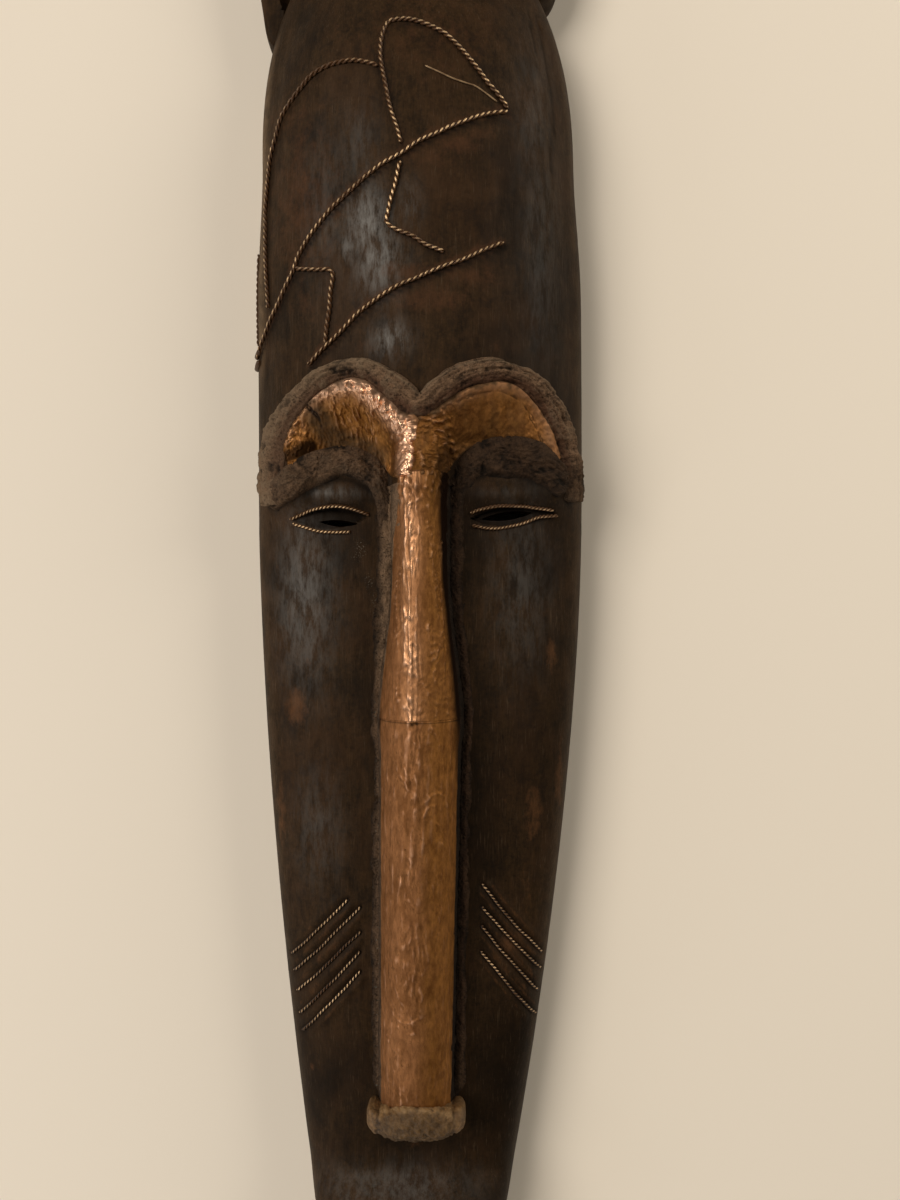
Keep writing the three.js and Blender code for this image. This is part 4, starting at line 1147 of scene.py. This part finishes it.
# The roll is a blunt bar across the nose's end. Over its middle lies a lens-shaped pad with a raised upper
# rim, and the bar's two ends are lower lumps with a crease between them and the pad. The section is squarer
# above than below.
def buildRoll():
    s = np.sin(np.linspace(-1, 1, 170)[:, None] * math.pi / 2)
    turn = np.linspace(0, 2 * math.pi, 121)[None, :-1]
    power = 2 / mix(1.8, 4.2, smooth(0.5 + 0.8 * np.cos(turn)))
    up, out = (np.sign(part) * np.abs(part) ** power for part in (np.cos(turn), np.sin(turn)))
    fat = np.maximum(0, 1 - np.abs(s) ** 5) ** 0.34
    waist = 1 - 0.08 * bump(np.abs(s) - 0.72, 0.1)
    dip = 3.2 * smooth((np.abs(s) - 0.12) / 0.4) * smooth((0.94 - np.abs(s)) / 0.24) * np.maximum(up, 0)
    fromMiddle = (roll["right"] - roll["left"]) / 2 * s + 0 * turn
    x = (roll["left"] + roll["right"]) / 2 + fromMiddle
    y = roll["y"] + roll["halfLength"] * fat * waist * up * (1 - 0.2 * s**2) - dip
    z = roll["z"] - 2 * s**2 + roll["depth"] * fat * waist * out * (1 - 0.22 * s**2)
    points = np.stack([x, y, z], -1)
    outwards = unit(np.stack([0.5 * s + 0 * turn, np.cos(turn) + 0 * x, np.sin(turn) + 0 * x], -1))
    padTop = roll["y"] + 9.8 - 5.5 * clamp01(np.abs(fromMiddle + 1) / 20) ** 2.2
    padTop = padTop + 0.8 * noiseAt(points, 7, 84, 2)
    front = smooth((z - roll["z"]) / 5)
    onPad = front * smooth((20.5 - np.abs(fromMiddle)) / 3)
    rim = bump(y - padTop) * onPad
    groove = bump(y - padTop - 2.0, 0.8) * onPad
    crease = bump(np.abs(fromMiddle) - 20 - 0.8 * noiseAt(points, 4, 85))
    crease = crease * front * smooth((padTop + 3 - y) / 3)
    lumps = 1.0 * noiseAt(points, 6, 81, 3) + 0.6 * noiseAt(points, 2.0, 82, 2)
    lumps = lumps + crumple(x, y, (2, 5), 0.22, 86)
    points = points + outwards * ((lumps + 0.9 * rim - 0.6 * groove - 0.4 * crease) * fat)[..., None]
    pad = smooth((padTop - y) / 3) * onPad
    low = smooth((roll["y"] - 5 - y) / 5)
    # Painted highlight on the pad's rim and the lump tops, kept off the underside; painted shade in the
    # groove and creases, between lumps and on the underside.
    marks = {
        "pale": clamp01(0.8 * rim + 0.5 * smooth((lumps - 0.35) / 0.6) + 0.35 * (1 - pad)) * (1 - low),
        "grimeAndShade": clamp01(0.6 * groove + 0.6 * crease + 0.6 * smooth((-0.35 - lumps) / 0.5) + 0.5 * low),
        "green": pad,
    }
    addPiece("noseRoll", "tip_resin", "nose_tip_resin", points, tubeFaces(*x.shape), marks)


buildBrow()
buildSeam("leftNoseSeam", "left_nose_resin", -1, resin["leftSeam"], 91)
buildSeam("rightNoseSeam", "right_nose_resin", 1, resin["rightSeam"], 101)
buildRoll()
print("resin laid")

# Copper sheet

sheet = {
    "lift": 0.75, "sink": 1.0, "socketRows": 210, "socketColumns": 96, "noseSpacing": 0.5, "noseColumns": 104,
    # The marks that the finish reads, with their usual values.
    "usual": {"fold": 0, "dirt": 0, "yellow": 0, "gloom": 0, "matt": 0, "shine": 0},
    "leftEdges": (
        [
            (-74, 79), (-69, 91), (-61, 102), (-50, 111), (-36, 116), (-24, 113), (-14, 104), (-6, 97.5),
            (1, 97),
        ],
        [(-70, 70), (-62, 74), (-54, 77), (-46, 79), (-37, 80), (-27, 78), (-19, 71), (-12, 64), (-2, 63)],
    ),
    "rightEdges": (
        [
            (-6, 92), (2.5, 96.5), (9, 100), (18, 107), (29, 112), (41, 115), (53, 112.5), (63, 103),
            (71, 91), (77, 76),
        ],
        [(-6, 63), (4, 63), (13, 64), (18, 72), (27, 81), (38, 85), (49, 86), (60, 84), (68, 79), (74, 71)],
    ),
    # The bright rolled bands along the sockets' upper rims.
    "leftRoll": [
        (-70, 86), (-65.6, 96), (-59.8, 105), (-50.3, 111.5), (-38.4, 114), (-30, 112.5), (-23, 107.5),
        (-16, 102), (-9, 94.5), (-4, 87), (-3, 79), (-4.5, 70), (-4, 62),
    ],
    "rightRoll": [
        (8, 99), (15, 103.5), (22, 107), (30, 110.5), (41, 113), (52.5, 111.5), (59.5, 107), (65, 100),
        (69, 91), (72.5, 80), (75, 73),
    ],
    "leftRip": [(-59, 106), (-57, 101), (-53, 97.5), (-52, 93)],
    "leftHollow": [(-72, 77), (-65, 79.5), (-58, 83)],
    "leftDirt": [(-53, 97), (-50, 92), (-45, 87), (-37, 83.5), (-29, 81), (-23, 77)],
    "rightCrease": [
        (14, 101), (21, 104.5), (29, 107.5), (40, 109.5), (48, 108), (55.5, 103.5), (61, 96), (66, 85),
    ],
    "jointCrease": [(-16, 66), (-11, 67), (-7, 69.5), (-3.5, 72.5)],
    # Raised creases on the nose, from the photograph's larger wrinkles.
    "creases": {"upper_nose_copper": [
        [(3.5, -12), (7, -31), (12, -16)], [(4, 40), (6, 22), (10, 4)], [(12, 30), (10, 6), (13, -18)],
        [(6, -36), (9, -48), (8, -60)], [(-10, 30), (-12, 4), (-11, -24)], [(14, -26), (13, -44), (15, -60)],
        [(-8, -34), (-11, -46), (-9, -58)], [(2, -42), (4, -50), (1, -58)],
    ], "lower_nose_copper": [
        [(-13, -76), (-11, -86), (-6.5, -94), (-4, -98)], [(-9, -78), (-7.5, -86), (-3.5, -93)],
        [(-2, -73), (0.5, -78), (-0.5, -84)], [(3, -104), (8, -100), (13, -102), (15, -108)],
        [(2, -112), (5, -107), (10, -106)], [(-1, -118), (1, -122), (-1, -126), (-3, -122)],
        [(10, -116), (13, -122), (12, -128)], [(-4, -132), (-2, -140), (-4, -148), (-7, -152)],
        [(-8, -146), (-5, -152), (-2, -158)], [(-6, -160), (-3, -166), (-5, -172)],
        [(-12, -198), (-9, -206), (-5, -212), (-2, -216)], [(1, -199), (3, -205), (1, -211)],
        [(-14, -212), (-10, -218), (-4, -220), (3, -216)], [(-9, -222), (-5, -226), (-1, -225)],
        [(-16, -228), (-14, -234), (-10, -236)], [(6, -66), (9, -72), (10, -84)],
        [(8, -134), (10, -142), (8, -150)], [(12, -160), (10, -172), (12, -184)],
        [(4, -176), (6, -186), (3, -194)],
    ]},
}


# 1 within a reach of a line of places, falling to 0 over the last part of it.
def beside(line, reach, x, y):
    return smooth(1.5 - 1.5 * distanceTo(line, x, y) / reach)


# A sheet lies at its height where edge is 1, and is pressed into the wood where it is 0.
def addSheet(name, node, x, y, height, edge, marks):
    lift = np.maximum(height, 0.25) * edge - 0.3 * (1 - edge)
    addPiece(name, "copper_sheet", node, *layer(x, y, lift, sheet["usual"], marks, sheet["sink"]))


# The left socket's copper: a thick crumpled roll along the rim, fine wrinkles down the cove, a rip and a dent
# at the outer end and dirt above the lower band. Each height is a sum of bells and crumples.
def leftSocket(x, y, t, ragged, seed):
    rim = bump(distanceTo(sheet["leftRoll"], x, y) + 0.8 * ragged, 5.4)
    foil = crumple(x, y, (1.3, 5), 0.52, seed, count=9)
    wrinkles = crumple(x, y, (1.4, 3.4), 0.3, seed + 20, 0.1, 0.2)
    soft = crumple(x, y, (5, 12), 0.16, seed + 40)
    rip = distanceTo(sheet["leftRip"], x, y) + 1.2 * ragged
    joint = distanceTo(sheet["jointCrease"], x, y) + 0.3 * ragged
    hollow = beside(sheet["leftHollow"], 5, x, y)
    inRim = mix(1.0, 2.2, smooth((x + 62) / 10)) * rim + rim * foil
    height = inRim + (1 - rim) * (wrinkles + 0.7 * soft + 0.15 * foil)
    height = height - 1.1 * bump(rip, 0.9) - 0.5 * bump(joint, 0.5) - 0.8 * hollow
    height = height + 0.4 * foil * smooth((-54 - x) / 6) * (1 - rim) + 0.5 * smooth((t - 0.85) / 0.1)
    folds = 0.42 * rim * (foil + 0.55) + (1 - rim) * (0.9 * wrinkles + 0.3 * soft - 0.06)
    # Painted highlight along the roll, fading towards the outer end, and painted shade in the dent, the rip
    # and the joint crease.
    bright = smooth((x + 68) / 16)
    marks = {
        "fold": clamp01(0.5 + folds) * 2 - 1, "dirt": beside(sheet["leftDirt"], 10, x, y) * 0.9,
        "yellow": 0.8 * clamp01(1 - 1.4 * smooth((x + 64) / 16) * rim), "shine": 1.15 * rim * bright,
        "gloom": clamp01(np.maximum.reduce([0.9 * hollow, bump(rip, 0.8), 0.6 * bump(joint, 0.4)])),
    }
    return height, marks


# The right socket's copper: a lower, golden roll with a crease inside it, more crumpled towards the nose,
# with a painted highlight on the roll and painted shade below the crease and towards the nose and the lower
# band.
def rightSocket(x, y, s, ragged, seed):
    rim = bump(distanceTo(sheet["rightRoll"], x, y) + 1.6 * ragged, 4.0)
    foil = (0.2 + 0.8 * smooth((24 - x) / 14)) * crumple(x, y, (2.2, 6), 0.4, seed)
    soft = crumple(x, y, (6, 14), 0.12, seed + 40)
    fine = crumple(x, y, (1.2, 3.4), 0.26, seed + 60) * (0.35 + 0.65 * smooth((30 - x) / 14))
    crease = np.abs(distanceTo(sheet["rightCrease"], x, y) + 1.2 * ragged)
    broken = smooth(0.5 + 2 * noiseOn(x, y, 6, seed + 12))
    patches = smooth(0.1 + 1.8 * noiseOn(x, y, (5, 9), seed + 14, 3))
    # Painted shade below the crease, towards the nose and towards the lower band.
    gloom = np.maximum.reduce([
        0.6 * bump(crease, 0.4) * broken + 0.45 * smooth((16 - x) / 12) * smooth((s - 0.25) / 0.6),
        0.35 * smooth((s - 0.3) / 0.5) * smooth((66 - x) / 26),
        0.8 * smooth((24 - x) / 14) * smooth((x - 4) / 8) * smooth((s - 0.35) / 0.4),
    ])
    marks = {
        "fold": clamp01(0.5 + 0.12 * rim + 0.4 * foil) * 2 - 1, "matt": 0.7, "gloom": clamp01(gloom),
        "dirt": 0.35 * smooth((s - 0.85) / 0.15) + 0.3 * patches, "yellow": 0.8 * clamp01(1 - 0.3 * rim),
        "shine": 0.3 * rim,
    }
    return 1.3 * rim + foil + 0.8 * soft + fine - 0.6 * bump(crease, 0.7), marks


# A socket sheet spans its upper and lower edge, s from one to the other and t along them. Its edges are
# ragged, smeared with dirt and pressed to the wood.
def buildSocket(name, node, edges, side, seed):
    upper, lower = (smoothLine(edge, count=sheet["socketRows"])[:, None] for edge in edges)
    s = np.linspace(0, 1, sheet["socketColumns"])[None, :]
    x, y = np.moveaxis(upper * (1 - s[..., None]) + lower * s[..., None], -1, 0)
    s = np.broadcast_to(s, x.shape)
    t = np.broadcast_to(np.linspace(0, 1, len(x))[:, None], x.shape)
    ragged = noiseOn(x, y, 3.0, seed + 9, 2)
    if side < 0:
        x = x + 1.8 * ragged * smooth((t - 0.9) / 0.1)
        height, marks = leftSocket(x, y, t, ragged, seed)
    else:
        height, marks = rightSocket(x, y, s, ragged, seed)
    edge = smooth((1 - np.abs(2 * s - 1)) / 0.1) * smooth(np.minimum(t, 1 - t) / 0.02)
    lowerSmear = smooth((s - 0.9 + 0.08 * ragged) / 0.1) * smooth((np.abs(x) - 14) / 5)
    smear = smooth((0.11 + 0.1 * ragged - s) / 0.1) + lowerSmear
    marks["dirt"] = clamp01(marks["dirt"] + 0.9 * smear)
    addSheet(name, node, x, y, sheet["lift"] + height, edge, marks)


# The upper nose sheet's folds: pleats down it, and foil and sharp peaks along a wandering line left of the
# middle.
def upperFolds(arc, y, sway, pleats, foil, seed):
    wander = 1.1 * noiseOn(arc, y, (12, 18), seed + 7, 2)
    patch = smooth(0.6 + 2.0 * noiseOn(arc, y, (8, 9), seed + 8))
    broken = [smooth(0.8 + 1.6 * noiseOn(arc, y, (3, 6), seed + number)) for number in (11, 12)]
    middle = bump(arc + 3.8 + wander, 4.2) * (0.5 + 0.5 * patch)
    wander = wander + 0.7 * noiseOn(arc, y, (4, 5), seed + 14, 2)
    peaks = bump(arc + 6.2 + wander, 0.9) * broken[0]
    peaks = peaks + bump(arc + 1.4 - wander, 0.6) * broken[1] * bump(y - 2, 26)
    peaks = peaks + 0.7 * bump(arc + 3.9 + 0.8 * wander, 0.6) * (1 - 0.6 * broken[0])
    lines = crumple(sway, y * 0.12, (1.1, 2.6), 0.36, seed + 30, 0.0, 0.12)
    crumpled = foil * (0.1 + 0.4 * middle + 0.8 * smooth((y - 40) / 20))
    folds = pleats + lines * (0.12 + 0.8 * middle) + crumpled + 0.4 * peaks
    # The shine mark paints a highlight along the bright line left of the middle, where the copper is less
    # matt.
    return folds, {"matt": 0.9 - 1.5 * middle, "shine": 0.2 * middle}


# The lower nose sheet's folds: pleats down it, with fine lines and foil in patches.
def lowerFolds(arc, y, pleats, foil, seed):
    wander = 1.1 * noiseOn(arc, y, (12, 18), seed + 7, 2)
    patch = smooth(0.45 + 2.2 * noiseOn(arc, y, (8, 16), seed + 8))
    swayed = arc + 1.6 * noiseOn(arc, y, (6, 10), seed + 16, 2)
    lines = crumple(swayed, y * 0.2, (1.0, 2.4), 0.14, seed + 30, 0.0, 0.2) * patch
    nearMiddle = bump(arc + 4 + wander, 7.0) * patch
    return pleats + foil * (0.12 + 0.3 * nearMiddle + 0.2 * smooth((-236 - y) / 18)) + lines, {"matt": 1}


# A nose sheet wraps the nose's core, s across it from -1 to 1. Its arc is s times half its width, and its
# creases are bells of the distance to listed lines, with the foil crowded round them.
def buildNoseSheet(name, node, top, bottom, seed):
    isUpper = node == "upper_nose_copper"
    y = np.arange(top, bottom, -sheet["noseSpacing"])[:, None]
    leftEnd = 0.33 * smooth((y - 20) / 34) - 1
    s = mix(leftEnd, 1, np.linspace(0, 1, sheet["noseColumns"])[None, :])
    x = noseX(y) + nose["coreShare"] * sheetHalf(y) * np.sin(s * math.asin(1 / nose["coreShare"]))
    y = y - 7 * s**2 * smooth((-238 - y) / 28)
    arc = s * sheetHalf(y) * 1.25
    sway = arc + 1.6 * noiseOn(arc, y, (8, 26), seed + 6, 3)
    pleats = crumple(sway, y * 0.25, (1.6, 5.5), 0.09, seed, 0.0, 0.35)
    pleats = pleats + 0.12 * noiseOn(arc, y, (2.2, 5), seed + 5, 3)
    foil = crumple(arc, y * 0.4, (1.2, 3.8), 0.38, seed + 20)
    if isUpper:
        folds, marks = upperFolds(arc, y, sway, pleats, foil, seed)
    else:
        folds, marks = lowerFolds(arc, y, pleats, foil, seed)
    swayed = arc + 0.5 * noiseOn(arc, y, 2.5, seed + 10)
    strength = clamp01(0.7 + 0.6 * noiseOn(arc, y, 5, seed + 9))
    creases = sheet["creases"][node]
    wrinkled, gathered = (drawn(creases, swayed, y, width, 2) * strength for width in (0.6, 3.2))
    crowded = (0.45 if isUpper else 0.3) * crumple(arc, 0.8 * y, (1.2, 3.4), 0.42, seed + 70)
    folds = folds + crowded * gathered
    lap = (0.35 * smooth((nose["jointY"] + 6 - y) / 8) + 0.5 * smooth((y - 54) / 6)) * isUpper
    torn = 3.5 * noiseOn(arc, y, (7, 5), seed + 13) - 2.5 * smooth((-2 - arc) / 10)
    ends = smooth((top - 2 - y + torn) / 2.2) if isUpper else smooth((y + 7 * s**2 - bottom) / 0.8)
    inset = np.minimum(s - leftEnd, 1 - s)

    # The seam between the sheets with its two holes, a nick beside it, and painted shade along the edges,
    # down the right side and at the upper right.
    joint = y - nose["jointY"]
    holes = spot(arc, joint, -3.4, -0.8, 0.7, 0.7) + spot(arc, joint, -1.0, -0.3, 0.8, 0.8)
    shadeStart = mix(mix(0.86, 0.62, smooth((y + 110) / 50)), 0.48, smooth((y + 10) / 40))
    shade = mix(0.75, 0.96, smooth((y + 75) / 10)) * smooth((s - shadeStart) / 0.25)
    rightDim = (0.15 + 0.3 * smooth((y - 25) / 35)) * smooth((s - 0.1) / 0.3) * isUpper
    dark = holes + spot(arc, y, -25, -66, 1.6, 7) + shade + 0.6 * bump(joint, 0.35) + rightDim
    marks.update({
        "fold": clamp01(0.5 + 0.8 * folds + 0.2 * wrinkled) * 2 - 1, "dirt": clamp01(0.6 * bump(inset, 0.07)),
        "yellow": 0.15 + 0.7 * smooth((s + 0.1) / 0.5), "gloom": clamp01(0.8 * bump(inset, 0.03) + dark),
    })
    height = sheet["lift"] + folds + 0.5 * wrinkled + lap
    addSheet(name, node, x, y, height, np.minimum(smooth(inset / 0.05), ends), marks)


buildSocket("leftSocketSheet", "left_socket_copper", sheet["leftEdges"], -1, 111)
buildSocket("rightSocketSheet", "right_socket_copper", sheet["rightEdges"], 1, 211)
buildNoseSheet("upperNoseSheet", "upper_nose_copper", 71.0, nose["jointY"], 311)
buildNoseSheet("lowerNoseSheet", "lower_nose_copper", nose["jointY"] + 1.5, nose["sheetEndY"] - 5, 411)
print("copper sheet folded")

# Copper wire

# Shine sets how bright each rope's top is: worn copper with a painted highlight.
ropes = {
    "forehead": {"radius": 1.2, "turn": 6.7, "lift": 0.8, "shine": 0.8, "glue": 0.2, "knots": []},
    "eye": {"radius": 1.0, "turn": 4.1, "lift": 0.8, "shine": 0.72, "glue": 0.2, "knots": []},
    "cheek": {"radius": 0.95, "turn": 4.8, "lift": 0.0, "shine": 0.9, "glue": 0.0, "knots": []},
    "steps": 12, "sides": 7,
}
# Where a single wire differs from its kind.
ownRopes = {
    "crest_loop_wire": {"shine": 0.76}, "neck_wire": {"shine": 0.95}, "bracket_wire": {"shine": 0.65},
    "long_diagonal_wire": {"shine": 0.84, "knots": [(-90.4, 138.5), (-91, 132.5)]},
    "outer_loop_wire": {"shine": 0.6}, "lower_diagonal_wire": {"shine": 0.64},
    "left_side_wire": {"shine": 0.15, "radius": 0.9, "lift": 0.3},
}
thinWire = {"radius": 0.4, "lift": 0.5, "spacing": 1.2, "sides": 8, "top": 0.55}


# A rope of two strands: each winds round the wire's line as a helix, half a turn from the other. Its top mark
# is the height over the rope's middle, and a knot is a short thick strand across the rope.
def addRope(node, places, kind, seed):
    spacing, radius = kind["turn"] / ropes["steps"], kind["radius"]
    x, y = smoothLine(places, spacing).T
    swayX, swayY, rise, twist, glint = (
        noiseOn(x, y, size, seed + k) for k, size in enumerate((9, 9, 14, 20, 24))
    )
    x, y = x + 0.35 * swayX, y + 0.35 * swayY
    centre = abovePoint(x, y, kind["lift"] + 0.15 * rise)
    tangent = unit(np.gradient(centre, axis=0))
    side = unit(np.cross(tangent, abovePoint(x, y, kind["lift"] + 1) - abovePoint(x, y, kind["lift"])))
    up = np.cross(side, tangent)
    phase = -2 * math.pi * np.arange(len(x)) * spacing / kind["turn"] + 0.5 * twist
    parts = []
    for start in (0, math.pi):
        out = np.cos(phase + start)[:, None] * up + np.sin(phase + start)[:, None] * side
        points, faces = strand(centre + out * radius * 0.5, out, radius * 0.54, ropes["sides"])
        height = np.zeros(points.shape[:2])
        height[1:-1] = np.einsum("ijk,ik->ij", points[1:-1] - centre[:, None], up)
        top = smooth((height / radius - 0.6) / 0.36)
        # The painted highlight on the strand tops is scaled by the wire's shine and by noise along it.
        top[1:-1] *= kind["shine"] * clamp01(0.85 + 0.5 * glint)[:, None]
        parts.append((points, faces, {"top": mix(kind["glue"], 1, top)}))
    for x, y in kind["knots"]:
        across = np.linspace(-1, 1, 9)
        knot = abovePoint(x + 1.6 * across, y + 1.2 * across, 0.6)
        points, faces = strand(knot, np.tile([-0.5, 0.0, 0.85], (9, 1)), 1.7, 10)
        parts.append((points, faces, {"top": np.full(points.shape[:2], 0.15)}))
    name = node.title().replace("_", "")
    addPiece(name[0].lower() + name[1:], "copper_wire", node, *joined(parts))


# The thin wire inside the crest loop is one plain strand.
def addThinWire():
    x, y = smoothLine(thinInnerWire, thinWire["spacing"]).T
    line = abovePoint(x, y, thinWire["lift"])
    outwards = abovePoint(x, y, thinWire["lift"] + 1) - line
    points, faces = strand(line, outwards, thinWire["radius"], thinWire["sides"])
    marks = {"top": np.full(points.shape[:2], thinWire["top"])}
    addPiece("thinInnerWire", "copper_wire", "thin_inner_wire", points, faces, marks)


wireGroups = (("forehead", foreheadWires, 200), ("eye", eyeWires, 300), ("cheek", cheekWires, 400))
for kindName, wires, seed in wireGroups:
    for number, (node, places) in enumerate(wires.items()):
        addRope(node, places, {**ropes[kindName], **ownRopes.get(node, {})}, seed + 10 * number)
addThinWire()
print("wires laid")

# Floor, in metres, just under the mask's flat rim

floorEdge, floorTop = 4, -0.0004
corners = [(floorEdge * x, floorEdge * y, floorTop) for x, y in ((-1, -1), (1, -1), (1, 1), (-1, 1))]
floorMesh = bpy.data.meshes.new("floor")
floorMesh.from_pydata(corners, [], [(0, 1, 2, 3)])
floorMesh.materials.append(Finish("paleFloor").done(colour(240, 232, 220), 0.9))
floor = addObject("floor", floorMesh)
